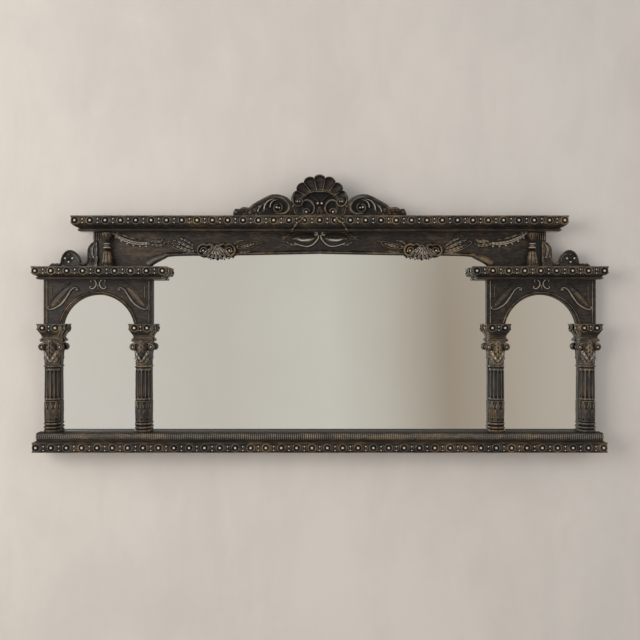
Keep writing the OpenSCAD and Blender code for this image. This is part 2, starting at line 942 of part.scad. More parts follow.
// Drawings of the frieze leaves, from the foot of the fan on the arch lip
fan_x = 275 * ornament_k;
fan_z = z_frieze + frieze_rise + 10;
fan_leaf = 27 * ornament_k;
fan_leaf_w = 7 * ornament_k;
fan_stems = [
    [[-130, 26], [-113, 9], [-94, 5], [-69, 4.5], [-45, 4]],
    [[29, 3], [46, 4], [64, 13], [84, 17], [104, 24], [118, 28]]];
fan_eyes = [[-43, 0], [26, 1]];
fan_crown = [[-43, 0], [-22, 7], [4, 8], [26, 1]];

// Outline of one leaf of the fan, hanging down from its foot
function fan_leaf_outline() =
    let (half = [for (i = [1 : 5])
        let (t = i / 6)
            [fan_leaf_w * sin(180 * t) * (1 - 0.3 * t), -fan_leaf * t]])
    concat([[0, -3]], [for (p = half) [-p[0], p[1]]], [[0, -fan_leaf]],
        [for (i = [len(half) - 1 : -1 : 0]) half[i]]);

// Outline of the lip along the flat arch
function lip_outline() =
    let (edge = frieze_edge(-5), last = len(edge) - 1)
    concat([for (i = [0 : last - 1]) edge[i]],
        [for (i = [last - 1 : -1 : 0]) edge[i] + [0, lip_w]],
        [for (i = [1 : last - 1]) [-edge[i][0], edge[i][1] + lip_w]],
        [for (i = [last - 1 : -1 : 1]) [-edge[i][0], edge[i][1]]]);

// A fan of leaves that laps over the arch lip, between two eyes with long stems
module acanthus() {
    top_d = d_board + lip_t;
    difference() {
        union() {
            for (a = [-75 : 30 : 75])
                raised(top_d, top_d + 7 - abs(a) / 45)
                    translate([-fan_x - 7, fan_z + 4])
                        rotate([0, 0, a])
                            polygon(fan_leaf_outline());
            raised(d_board, top_d + 3)
                polygon(band(drawn(smooth(fan_crown, 5), -fan_x, fan_z, ornament_k),
                    6, 6));
            for (eye = drawn(fan_eyes, -fan_x, fan_z, ornament_k))
                dome(eye[0], d_board, eye[1], 9, lip_t + 7);
            for (stem = fan_stems)
                raised(d_board, top_d)
                    polygon(band(drawn(smooth(stem, 5), -fan_x, fan_z, ornament_k),
                        3.2, 3.2));
        }
        raised(0, top_d)
            polygon(lip_outline());
    }
}

module left_acanthus() {
    color(rubbed_gold)
        acanthus();
}

module right_acanthus() {
    color(rubbed_gold)
        on_right()
            acanthus();
}

// Two C-scrolls that hang from the top cornice over the middle of the frieze
center_scroll = [[10, -2], [4, -12], [6, -22], [18, -34], [34, -38.5], [54, -35], [70, -29]];
module frieze_center_scrolls() {
    color(rubbed_gold)
        for (s = [0, 1])
            mirror([s, 0, 0]) {
                raised(d_board, d_board + 6)
                    polygon(band(drawn(smooth(center_scroll, 4), 0, z_top, ornament_k), 3, 2.2));
                dome(10, d_board, z_top - 7, 5, 8);
            }
}

// Ribbons that cross the face of the top cornice on a slant
module ribbon_ties() {
    color(rubbed_gold)
        for (s = [-1, 1])
            raised(overall_d + 2.2, overall_d + 4.6)
                polygon(band([[s * 76, z_top + 9], [s * 62, z_top + 22],
                    [s * 50, z_crest - 3]], 4, 4));
}

module frieze_arch_lip() {
    color(rubbed_gold)
        raised(d_board, d_board + lip_t)
            polygon(lip_outline());
}

// Beads on an arch panel: one round the arch and one inside each upright edge
module arch_beads() {
    foot = asin((z_panel - z_arch) / (arch_r + 7)) + 0.5;
    raised(d_board, d_board + 3.5)
        translate([-bay_x, z_arch])
            polygon(concat(arc(0, 0, arch_r + 7.5, foot, 180 - foot, 48),
                arc(0, 0, arch_r + 4, 180 - foot, foot, 48)));
    for (x = [-panel_out + 10, -panel_in - 13])
        block(x, x + 3.5, d_board, d_board + 3, z_panel + 0.5, z_side - 2);
}

module left_arch_beads() {
    color(rubbed_gold)
        arch_beads();
}

module right_arch_beads() {
    color(rubbed_gold)
        on_right()
            arch_beads();
}

// Drawing of an S-scroll from the middle of a bay, for a panel that reaches out to 146.5
scroll_k = (column_pitch / 2 + panel_edge) / 146.5;
scroll_line = [[128, 62], [116, 66], [102, 71], [88, 84], [74, 103], [64, 111], [56, 109]];

// Two S-scrolls that follow the shoulders of an arch
module spandrel_scrolls() {
    for (s = [-1, 1])
        let (line = drawn(scroll_line, 0, z_arch, scroll_k)) {
            raised(d_board, d_board + 5)
                polygon(band(smooth([for (p = line) [s * p[0] - bay_x, p[1]]], 4), 3, 2.2));
            dome(s * line[0][0] - bay_x, d_board, line[0][1], 4.5, 6.5);
        }
}

module left_spandrel_scrolls() {
    color(rubbed_gold)
        spandrel_scrolls();
}

module right_spandrel_scrolls() {
    color(rubbed_gold)
        on_right()
            spandrel_scrolls();
}

// Two back-to-back C-scrolls with a small leaf over each arch
module key_ornament(x) {
    z = z_side - 14;
    for (s = [-1, 1])
        raised(d_board, d_board + 5)
            polygon(band(arc(x + s * 15, z, 11, 90 + s * 15, 90 + s * 165, 12), 2.6, 2.6));
    raised(d_board, d_board + 6)
        polygon([[x, z - 17], [x + 4, z - 9], [x, z + 2], [x - 4, z - 9]]);
}

module key_ornaments() {
    color(rubbed_gold) {
        key_ornament(-bay_x);
        key_ornament(bay_x);
    }
}

// Hangers on the back of the top rail

eye_r = ring_wire / 2 + ring_gap;
eye_out = eye_r + strap_t;
pivot_d = pocket_d - eye_out - 0.4;
strap_w = 14;
strap_l = hanger_z - z_top_rail - 3;
screw_drops = [13, strap_l - 6];

module hanger_strap(x) {
    difference() {
        union() {
            block(x - strap_w / 2, x + strap_w / 2, pocket_d - strap_t, pocket_d,
                hanger_z - strap_l, hanger_z);
            translate([x - strap_w / 2, -pivot_d, hanger_z])
                rotate([0, 90, 0])
                    cylinder(h = strap_w, r = eye_out, $fn = 48);
        }
        translate([x - strap_w, -pivot_d, hanger_z])
            rotate([0, 90, 0])
                cylinder(h = 2 * strap_w, r = eye_r, $fn = 48);
        for (drop = screw_drops)
            translate([x, -pocket_d - 1, hanger_z - drop])
                rotate([-90, 0, 0])
                    cylinder(h = strap_t + 2, r = 2.3, $fn = 32);
    }
}

module hanger_straps() {
    color(steel) {
        hanger_strap(-hanger_pitch / 2);
        hanger_strap(hanger_pitch / 2);
    }
}

// Screws with low heads, sunk in the strap
module hanger_screw(x, z) {
    translate([x, -pocket_d + strap_t, z])
        rotate([90, 0, 0])
            cylinder(h = strap_t, r = 2.2, $fn = 32);
}

module hanger_screws() {
    color(steel)
        for (s = [-1, 1], drop = screw_drops)
            hanger_screw(s * hanger_pitch / 2, hanger_z - drop);
}

// A D-shaped ring hanging from its straight bar
module hanger_ring(x) {
    w = ring_w / 2 + ring_wire / 2;
    bend = w;
    drop = ring_l - bend - ring_wire / 2;
    translate([x, -pivot_d, hanger_z]) {
        translate([-w, 0, 0])
            rotate([0, 90, 0])
                cylinder(h = 2 * w, r = ring_wire / 2, $fn = 32);
        for (s = [-1, 1]) {
            translate([s * w, 0, 0])
                sphere(r = ring_wire / 2, $fn = 32);
            translate([s * w, 0, -drop])
                cylinder(h = drop, r = ring_wire / 2, $fn = 32);
        }
        translate([0, 0, -drop])
            rotate([90, 0, 0])
                rotate([0, 0, 180])
                    rotate_extrude(angle = 180, $fn = 64)
                        translate([bend, 0])
                            circle(r = ring_wire / 2, $fn = 32);
    }
}

module left_ring() {
    color(steel)
        hanger_ring(-hanger_pitch / 2);
}

module right_ring() {
    color(steel)
        hanger_ring(hanger_pitch / 2);
}

center_glass();
left_glass();
right_glass();
center_backing();
left_backing();
right_backing();
retaining_beads();
bottom_rail();
left_outer_stile();
left_inner_stile();
right_inner_stile();
right_outer_stile();
top_rail();
left_side_rail();
right_side_rail();
left_arch_panel();
right_arch_panel();
frieze_board();
left_side_cornice();
right_side_cornice();
top_cornice();
base_moulding();
reeded_moulding();
left_outer_column();
left_inner_column();
right_inner_column();
right_outer_column();
left_outer_capital();
left_inner_capital();
right_inner_capital();
right_outer_capital();
left_outer_impost();
left_inner_impost();
right_inner_impost();
right_outer_impost();
left_baluster();
right_baluster();
left_wing();
right_wing();
crest_shell();
crest_base();
left_crest_scroll();
right_crest_scroll();
left_festoon();
right_festoon();
left_acanthus();
right_acanthus();
frieze_center_scrolls();
ribbon_ties();
frieze_arch_lip();
left_arch_beads();
right_arch_beads();
left_spandrel_scrolls();
right_spandrel_scrolls();
key_ornaments();
hanger_straps();
hanger_screws();
left_ring();
right_ring();
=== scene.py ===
"""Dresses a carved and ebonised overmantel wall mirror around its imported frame.

Every carved piece is a surface worked out with numpy. Points are written as x, depth and
height in millimetres, where depth is the distance from the wall towards the room.
"""

import math

import bmesh
import bpy
import numpy as np
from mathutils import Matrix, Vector


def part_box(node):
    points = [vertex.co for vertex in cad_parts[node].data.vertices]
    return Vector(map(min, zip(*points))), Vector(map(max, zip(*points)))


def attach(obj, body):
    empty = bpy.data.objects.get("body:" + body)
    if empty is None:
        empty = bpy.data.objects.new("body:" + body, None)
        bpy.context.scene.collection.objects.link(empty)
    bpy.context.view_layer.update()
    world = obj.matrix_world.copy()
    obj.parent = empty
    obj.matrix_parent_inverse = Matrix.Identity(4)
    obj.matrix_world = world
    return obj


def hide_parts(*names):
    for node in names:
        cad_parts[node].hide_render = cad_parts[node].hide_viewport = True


bl_info = {
    "name": "Carved wall mirror",
    "version": (1, 0, 0),
    "blender": (4, 0, 0),
    "location": "View3D > Sidebar > Mirror",
    "description": "Builds the carving, the finishes and the stage of a wall mirror",
    "category": "Object",
}

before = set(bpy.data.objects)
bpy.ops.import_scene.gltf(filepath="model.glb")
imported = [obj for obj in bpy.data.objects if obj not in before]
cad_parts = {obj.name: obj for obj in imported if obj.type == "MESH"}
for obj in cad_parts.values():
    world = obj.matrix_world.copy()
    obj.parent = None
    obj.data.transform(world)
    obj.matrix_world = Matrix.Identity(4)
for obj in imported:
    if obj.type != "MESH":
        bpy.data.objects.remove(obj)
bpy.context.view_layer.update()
MM = 0.001


class Span:
    """The box of a CAD node in millimetres: x0 to x1, depth d0 to d1, height z0 to z1."""

    def __init__(self, node):
        low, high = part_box(node)
        self.x0, self.x1 = low.x / MM, high.x / MM
        self.d0, self.d1 = -high.y / MM, -low.y / MM
        self.z0, self.z1 = low.z / MM, high.z / MM
        self.x = (self.x0 + self.x1) / 2


# Nodes whose boxes place the carving
BOARD = Span("frieze_board")
PANEL = Span("left_arch_panel")
REEDS = Span("reeded_moulding")
TOP = Span("top_cornice")
SIDE = Span("left_side_cornice")
BASE = Span("base_moulding")
OUTER_COLUMN, INNER_COLUMN = Span("left_outer_column"), Span("left_inner_column")
CAPITAL = Span("left_outer_capital")
IMPOST = Span("left_outer_impost")


# Shared places and depths, in millimetres
FACE_D = BOARD.d1
BURIED_D = FACE_D - 0.5
COLUMN_AXIS_D = FACE_D + 6
BAY_X = (OUTER_COLUMN.x + INNER_COLUMN.x) / 2
ARCH_Z = PANEL.z0 - 20
CREST_D = FACE_D + 18
SHELL_Z = TOP.z1 + 35

# Eggs: how far they stand out, the first one's distance from the moulding's end, the depth of
# their dishes, and how far the band behind them lies back
EGG_PROUD = 4.8
FIRST_EGG = 11.5
DISH_DEPTH = 4.0
EGG_BAND_INSET = 1.4

# Edges of a raised band: width and rise of its skirt, which is painted dark as shade, the rise
# of its buried foot and the least half width
SKIRT = 1.1
SKIRT_RISE = 0.2
FOOT_RISE = -0.8
TIP = 0.05

# Tones of a carved plate's ground, which is painted a little dark as shade, and of what is
# rubbed most because it stands out
GROUND_SHADE = -0.3
RUBBED_MOST = 0.5

# Points of a mesh closer than this are one, in metres, and edges over this angle are sharp
MERGE_REACH = 2e-6
SHARP_ANGLE = 38


# Points, curves and grids


def sided(place, points, side=1):
    """Points measured from a place: x counts to the right, or to the left if side is -1."""
    return np.asarray(place) + np.asarray(points, float) * [side, 1]


def heading(degrees):
    """A step of one millimetre in x and height, at an angle from the right."""
    a = math.radians(degrees)
    return np.array([math.cos(a), math.sin(a)])


def arc(x, z, radius, start, stop, count):
    """Points on a circle: the centre plus the radius times cosine and sine of each angle."""
    a = np.radians(np.linspace(start, stop, count))
    return np.stack([x + radius * np.cos(a), z + radius * np.sin(a)], -1)


def coil(x, z, first, last, start, stop, count):
    """Points on a spiral: the radius runs evenly from first to last as the angle turns."""
    a = np.radians(np.linspace(start, stop, count))
    r = np.linspace(first, last, count)
    return np.stack([x + r * np.cos(a), z + r * np.sin(a)], -1)


def spaced(points, count):
    """The same line with its points at equal steps of its length."""
    points = np.asarray(points, float)
    run = np.r_[0, np.cumsum(np.linalg.norm(np.diff(points, axis=0), axis=1))]
    at = np.linspace(0, run[-1], count)
    return np.stack([np.interp(at, run, c) for c in points.T], -1)


def curve(points, count):
    """A smooth line through the points: the usual cubic blend of four neighbours, where each
    inner slope is half the step between the neighbours on both sides."""
    p = np.asarray(points, float)
    p = np.vstack([p[:1], p, p[-1:]])
    t = np.linspace(0, 1, 12, endpoint=False)[None, :, None]
    a, b, c, d = (p[k : len(p) - 3 + k, None, :] for k in range(4))
    line = b + 0.5 * t * (
        c - a + t * (2 * a - 5 * b + 4 * c - d + t * (3 * b - a - 3 * c + d))
    )
    return spaced(np.vstack([line.reshape(-1, p.shape[1]), p[-1:]]), count)


def along(points):
    """Share of the line's length at each point, from 0 to 1."""
    run = np.r_[0, np.cumsum(np.linalg.norm(np.diff(points, axis=0), axis=1))]
    return run / run[-1]


def ends(t, first, last):
    """One along the line, and falling to nothing at both ends as a quarter circle does."""
    a = np.clip(t / first, 0, 1)
    b = np.clip((1 - t) / last, 0, 1)
    return np.sqrt(a * (2 - a)) * np.sqrt(b * (2 - b))


def bump(u, width):
    """A smooth hill: the bell curve of u over width."""
    return np.exp(-((u / width) ** 2))


def step_up(u, low, high):
    """Nothing below low, one over high, and an S-curve between them."""
    t = np.clip((u - low) / (high - low), 0, 1)
    return t * t * (3 - 2 * t)


def filled(points, step):
    """A polyline with more points: each side is divided evenly into pieces up to step long."""
    points = np.asarray(points, float)
    sides = [
        np.linspace(a, b, max(1, math.ceil(np.linalg.norm(b - a) / step)), endpoint=False)
        for a, b in zip(points[:-1], points[1:])
    ]
    return np.vstack(sides + [points[-1:]])


class Shell:
    """Grids of points gathered into the one mesh of a piece, with a tone at each point: 1
    for a painted highlight, -1 for painted shade and 0 elsewhere."""

    def __init__(self):
        self.points, self.faces, self.tones, self.count = [], [], [], 0

    def grid(self, points, tone=0.0, poles=True):
        """Adds one grid, or many of the same size, with four-sided faces between rows and
        columns and each row's last point joined to its first. Poles closes the first and
        last rows by a point at their mean. The sign of the enclosed volume, which is a third
        of the sum of every face's centre times its area vector, tells which way round the
        faces look outwards once depth runs along -Y."""
        tone = np.broadcast_to(tone, points.shape[:-1])
        if poles:
            caps = [points[..., k, :, :].mean(-2)[..., None, None, :] for k in (0, -1)]
            wide = np.ones(points.shape[-2])[:, None]
            points = np.concatenate([caps[0] * wide, points, caps[1] * wide], -3)
            tone = np.concatenate([tone[..., :1, :], tone, tone[..., -1:, :]], -2)
        rows, cols = points.shape[-3:-1]
        copies = points.reshape(-1, rows * cols, 3)
        i = np.arange(rows - 1)[:, None] * cols
        j = np.arange(cols)[None, :]
        k = (j + 1) % cols
        quad = np.stack([i + j, i + cols + j, i + cols + k, i + k], -1).reshape(-1, 4)
        a, b, c, d = np.swapaxes((copies[0] - copies[0].mean(0))[quad], 0, 1)
        if (np.cross(c - a, d - b) * (a + b + c + d)).sum() > 0:
            quad = quad[:, ::-1]
        start = self.count + np.arange(len(copies))[:, None, None] * rows * cols
        self.faces.append((quad[None] + start).reshape(-1, 4))
        self.points.append(copies.reshape(-1, 3))
        self.tones.append(tone.reshape(-1))
        self.count += len(copies) * rows * cols
        return self

    def flipped(self):
        """The same piece for the right-hand side, with x turned round."""
        other = Shell()
        other.points = [p * [-1, 1, 1] for p in self.points]
        other.faces = [f[:, ::-1] for f in self.faces]
        other.tones, other.count = list(self.tones), self.count
        return other

    def ribbon(self, path, half, rise, base=FACE_D, relief=None, across=13, shine=0.1):
        """A raised band. At each point of the path a cross-section stands square to it: its
        half width and rise run along the path, and relief gives the share of the rise from
        the share t along the path and the place v across it, from -1 to 1. base is the depth
        of the face below, as a number or as a function of x and height. A thin skirt along
        both edges is painted dark as shade, shine paints a highlight along the middle, or shade
        where it is negative, and the half width is never less than TIP, so that pointed ends
        are closed."""
        t = along(path)
        slope = np.gradient(path, axis=0)
        normal = np.stack([-slope[:, 1], slope[:, 0]], -1)
        normal /= np.linalg.norm(normal, axis=1)[:, None] + 1e-9
        half = np.maximum(half, TIP) + 0 * t
        rise = np.broadcast_to(rise, t.shape)
        v = -np.cos(np.linspace(0, np.pi, across))
        high = (relief or round_top)(t[:, None], v[None, :]) * rise[:, None]
        high = np.maximum(high, SKIRT_RISE)
        # Tones: a painted highlight along the middle and painted shade on the skirts.
        tone = np.pad(shine * (1 - v**2) ** 1.5, 2, constant_values=-1)
        high = np.pad(high, ((0, 0), (1, 1)), constant_values=SKIRT_RISE)
        high = np.pad(high, ((0, 0), (1, 1)), constant_values=FOOT_RISE)
        skirt = SKIRT * np.r_[-1, -1, 0 * v, 1, 1] * np.clip(half / 1.2, 0, 1)[:, None]
        reach = half[:, None] * np.r_[-1, -1, v, 1, 1] + skirt
        place = path[:, None, :] + normal[:, None, :] * reach[..., None]
        x, z = place[..., 0], place[..., 1]
        floor = base(x, z) if callable(base) else base
        return self.grid(np.stack([x, floor + high, z], -1), tone)

    def band(self, path, half, rise, taper, base=FACE_D, across=9, shine=0.1, relief=None):
        """A ribbon that narrows to nothing at both ends, over the two shares of its length
        that taper gives."""
        half = half * ends(along(path), *taper)
        return self.ribbon(path, half, rise, base, relief, across, shine)

    def turned(self, profile, places, base, tall=1.0, around=28, side=0):
        """Round bosses. The profile's radius is swung about an axis square to the face, its
        second number is the height over the face, and a third is the tone. Places are x and
        height, or depth and height on a return, where side is the way that it faces."""
        profile, places = np.asarray(profile, float), np.asarray(places, float)
        tone = profile[:, 2, None] if profile.shape[1] > 2 else 0.0
        a = np.linspace(0, 2 * np.pi, around, endpoint=False)
        u = places[:, 0, None, None] + profile[None, :, 0, None] * np.cos(a)
        w = places[:, 1, None, None] + profile[None, :, 0, None] * np.sin(a) * tall
        high = np.broadcast_to(profile[None, :, 1, None], u.shape)
        if side:
            return self.grid(np.stack([base + side * high, u, w], -1), tone)
        return self.grid(np.stack([u, base + high, w], -1), tone)

    def lathe(self, profile, x, d, relief, around):
        """An upright turned piece: the profile's radius and height swung about the axis, with
        the tone as a third number. The relief is added to the radius and depends on the angle
        and the height. What would lie behind the face is flattened on it."""
        profile = np.asarray(profile, float)
        a = np.linspace(0, 2 * np.pi, around, endpoint=False)[None, :]
        z = profile[:, 1, None] + 0 * a
        r = profile[:, 0, None] + relief(a, z)
        depth = np.maximum(d - r * np.cos(a), FACE_D)
        tone = profile[:, 2, None] if profile.shape[1] > 2 else 0.0
        return self.grid(np.stack([x + r * np.sin(a), depth, z], -1), tone)

    def moulding(self, x0, x1, d0, d1, section, step, sunk=None, mitre=1.0, tone=0.0):
        """A moulding that turns round both ends. The section's inset and height are carried
        along the left return, the front and the right return with mitred corners, or with
        ends that are cut square where mitre is 0. Sunk gives how far the front's points move
        back, from their x and height."""
        inset, z = section[:, 0], section[:, 1]
        back = np.linspace(0, 1, 12)
        front = np.linspace(0, 1, max(2, int((x1 - x0) / step)))
        depth = d0 + (d1 - inset[:, None] - d0) * np.r_[back, 1 + 0 * front[1:-1], back[::-1]]
        across = np.r_[0 * back, front[1:-1], 1 + 0 * back]
        side = inset[:, None] * mitre
        x = x0 + side + (x1 - x0 - 2 * side) * across
        z = z[:, None] + 0 * x
        if sunk:
            on_front = (across > 0) & (across < 1)
            depth = depth - sunk(x, z) * on_front
        return self.grid(np.stack([x, depth, z], -1), tone)

    def slab(self, front, depth, tone):
        """A carved front joined all round to a flat back, which lies at one depth."""
        back = front.copy()
        back[..., 1] = depth
        front = np.concatenate([back[:1], front, back[-1:]])
        back = np.concatenate([back[:1], back, back[-1:]])[:, ::-1]
        return self.grid(np.concatenate([front, back], 1), tone, poles=False)

    def add(self, part, shifts=((0, 0, 0),)):
        """Adds a copy of another shell at each shift in x, depth and height."""
        start = self.count + np.arange(len(shifts))[:, None, None] * part.count
        points = np.concatenate(part.points)[None] + np.asarray(shifts, float)[:, None]
        self.points.append(points.reshape(-1, 3))
        self.faces.append((np.concatenate(part.faces)[None] + start).reshape(-1, 4))
        self.tones.append(np.tile(np.concatenate(part.tones), len(shifts)))
        self.count += points.shape[0] * points.shape[1]
        return self


def highlight_and_shade(rise, low=0.4):
    """Tone of a bead from its height, as a share: a painted highlight on top and painted shade at
    its foot.
    """
    return np.clip(2.2 * step_up(rise, low, 1.0) - 1, -1, 1)


def pearl(r, foot=-15, shine=1.0):
    """A bead's profile: radius, height and tone, with painted shade at its foot. Shine is the
    tone of the painted highlight on its top.
    """
    a = np.radians(np.linspace(88, foot, 9))
    tone = np.minimum(highlight_and_shade(np.sin(a)), shine)
    return np.stack([r * np.cos(a), r * np.sin(a), tone], -1)


def round_top(t, v):
    """A half round: the root of one less the square of the place across."""
    return np.sqrt(np.clip(1 - v * v, 0, 1)) + 0 * t


def barred(t, v):
    """A bar that is higher along its upper edge."""
    return round_top(t, v) * (0.72 + 0.28 * v)


def cupped(t, v):
    """A petal's face: a half round that is lower along its middle."""
    return round_top(t, v) * (0.55 + 0.6 * np.abs(v) ** 2)


def dished(t, v):
    """A shallow dish with a streaked bottom and a soft rim."""
    rim = step_up(1 - np.abs(v), 0.0, 0.25)
    return (0.2 + 0.8 * np.abs(v) ** 1.6 + 0.06 * np.cos(50 * t + 9 * v)) * rim


def leafy(lobes, slant=0.5, vein=0.4):
    """A leaf's face: a half round with a sunk midrib and a ripple that leans towards the tip."""

    def relief(t, v):
        rib = 1 - vein * bump(v, 0.13)
        ripple = 0.84 + 0.16 * np.cos(2 * np.pi * (lobes * t - slant * np.abs(v)))
        return round_top(t, v) * rib * ripple

    return relief


def lobed(t, lobes, depth=0.22):
    """Half width of a leaf: widest past its foot, with rounded lobes along the edge."""
    body = np.sin(np.pi * np.clip(t, 0, 1) ** 0.75) ** 0.65
    return body * (1 - depth + depth * np.abs(np.sin(np.pi * lobes * t)) ** 0.6)


def relief_of(points, edges, spread):
    """How far each point stands out of its surroundings, from -1 to 1: the point less the
    mean of its neighbours, taken several times over, along the outward normal."""
    count = len(points)
    near = np.bincount(edges.ravel(), minlength=count).clip(1)
    smooth = points.copy()
    for _ in range(spread):
        total = np.empty_like(smooth)
        for k in range(3):
            total[:, k] = np.bincount(edges[:, 0], smooth[edges[:, 1], k], count)
            total[:, k] += np.bincount(edges[:, 1], smooth[edges[:, 0], k], count)
        smooth = total / near[:, None]
    return points - smooth


def add_piece(name, shell, finish, slot, nodes, spread=6, scale=0.8):
    """Puts a shell into one mesh object, marks what stands out or lies low on it in an
    attribute, and says what it rides on and which nodes it stands for. The slot is not used."""
    points = np.concatenate(shell.points) * [MM, -MM, MM]
    faces = np.concatenate(shell.faces)
    mesh = bpy.data.meshes.new(name)
    mesh.from_pydata(points, [], faces)
    # The attribute starts as each point's tone of painted highlight or painted shade.
    marks = mesh.attributes.new("carve", "FLOAT", "POINT")
    marks.data.foreach_set("value", np.concatenate(shell.tones))
    work = bmesh.new()
    work.from_mesh(mesh)
    bmesh.ops.remove_doubles(work, verts=work.verts, dist=MERGE_REACH)
    bmesh.ops.dissolve_degenerate(work, dist=1e-7, edges=work.edges)
    work.to_mesh(mesh)
    work.free()
    count = len(mesh.vertices)
    where, normal = np.empty(count * 3), np.empty(count * 3)
    mesh.vertices.foreach_get("co", where)
    mesh.vertex_normals.foreach_get("vector", normal)
    edges = np.empty(len(mesh.edges) * 2, int)
    mesh.edges.foreach_get("vertices", edges)
    stands = relief_of(where.reshape(-1, 3) / MM, edges.reshape(-1, 2), spread)
    carve = np.empty(count)
    mesh.attributes["carve"].data.foreach_get("value", carve)
    # How far a point stands out is added: low places are painted as shade, high ones rubbed.
    relief = np.clip((stands * normal.reshape(-1, 3)).sum(1) / scale, -1, RUBBED_MOST)
    carve = np.clip(carve + relief, -1, 1)
    mesh.attributes["carve"].data.foreach_set("value", carve)
    mesh.shade_smooth()
    mesh.set_sharp_from_angle(angle=math.radians(SHARP_ANGLE))
    mesh.materials.append(bpy.data.materials[finish])
    piece = bpy.data.objects.new(name, mesh)
    bpy.context.scene.collection.objects.link(piece)
    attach(piece, "frame")
    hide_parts(*nodes)
    return piece


def add_pair(name, shell, finish, slot, **marks):
    """The same piece on the left and, turned round, on the right. Marks are add_piece's
    settings for what stands out."""
    for side, made in (("left", shell), ("right", shell.flipped())):
        node = f"{side}_{name}"
        add_piece(f"{node}_carving", made, finish, slot, [node], **marks)


def four_places():
    """The name and the x of each of the four columns."""
    for side, sign in (("left", -1), ("right", 1)):
        for place, span in (("outer", OUTER_COLUMN), ("inner", INNER_COLUMN)):
            yield f"{side}_{place}", -sign * span.x


# Finishes


class Signal:
    """A socket of a material's node tree that takes part in arithmetic."""

    def __init__(self, graph, socket):
        self.graph, self.socket = graph, socket

    def math(self, operation, *others, clamp=False):
        """One Math node on this value and the others."""
        settings = {"operation": operation, "use_clamp": clamp}
        return self.graph.node("ShaderNodeMath", settings, dict(enumerate((self, *others))))

    def __add__(self, other):
        return self.math("ADD", other)

    def __sub__(self, other):
        return self.math("SUBTRACT", other)

    def __rsub__(self, other):
        return (self * -1) + other

    def __mul__(self, other):
        return self.math("MULTIPLY", other)

    def __truediv__(self, other):
        return self.math("DIVIDE", other)

    def __pow__(self, other):
        return self.math("POWER", other)

    __radd__ = __add__
    __rmul__ = __mul__

    def clamp(self):
        """This value kept between 0 and 1."""
        return self.math("ADD", 0.0, clamp=True)

    def over(self, low, high):
        """Nothing below low and one over high, with a smooth step between them."""
        settings = {"interpolation_type": "SMOOTHSTEP"}
        values = {"Value": self, "From Min": low, "From Max": high}
        return self.graph.node("ShaderNodeMapRange", settings, values)

    def mix(self, first, second):
        """The first colour where this is 0 and the second where it is 1."""
        settings = {"data_type": "RGBA"}
        return self.graph.node("ShaderNodeMix", settings, {0: self, 6: first, 7: second}, 2)


class Graph:
    """The node tree of one material or of the world."""

    def __init__(self, owner):
        owner.use_nodes = True
        self.tree = owner.node_tree
        self.tree.nodes.clear()

    def node(self, kind, settings=None, values=None, output=0):
        """Adds a node: its settings first, then a value or a link for each named or numbered
        socket. Returns the numbered or named output as a signal."""
        made = self.tree.nodes.new(kind)
        for key, value in (settings or {}).items():
            if key == "stops":
                self.stops(made.color_ramp, value)
            else:
                setattr(made, key, value)
        for key, value in (values or {}).items():
            if isinstance(value, Signal):
                self.tree.links.new(value.socket, made.inputs[key])
            elif isinstance(value, tuple) and made.inputs[key].type == "RGBA":
                made.inputs[key].default_value = (*value, 1.0)
            else:
                made.inputs[key].default_value = value
        return Signal(self, made.outputs[output]) if len(made.outputs) else None

    def stops(self, ramp, stops):
        """Sets a ramp's stops from pairs of place and colour."""
        while len(ramp.elements) < len(stops):
            ramp.elements.new(1.0)
        for element, (place, colour) in zip(ramp.elements, stops):
            element.position = place
            element.color = (*colour, 1.0)

    def place(self, stretch=(1, 1, 1), turn=(0, 0, 0)):
        """Object coordinates, stretched and turned."""
        where = self.node("ShaderNodeTexCoord", output="Object")
        values = {"Vector": where, "Scale": stretch, "Rotation": turn}
        return self.node("ShaderNodeMapping", None, values)

    def noise(self, scale, stretch=(1, 1, 1), detail=4.0, rough=0.55, warp=0.0, shift=0.0):
        """A cloudy pattern from 0 to 1."""
        settings = {"noise_dimensions": "4D"}
        values = {
            "Vector": self.place(stretch),
            "W": shift,
            "Scale": scale,
            "Detail": detail,
            "Roughness": rough,
            "Distortion": warp,
        }
        return self.node("ShaderNodeTexNoise", settings, values)

    def bump(self, height, distance):
        """A normal that is tilted by a height."""
        values = {"Height": height, "Distance": distance, "Strength": 1.0}
        return self.node("ShaderNodeBump", None, values)

    def surface(self, values):
        """Ends the tree in a Principled surface with these values."""
        shader = self.node("ShaderNodeBsdfPrincipled", None, values, "BSDF")
        self.node("ShaderNodeOutputMaterial", None, {"Surface": shader})


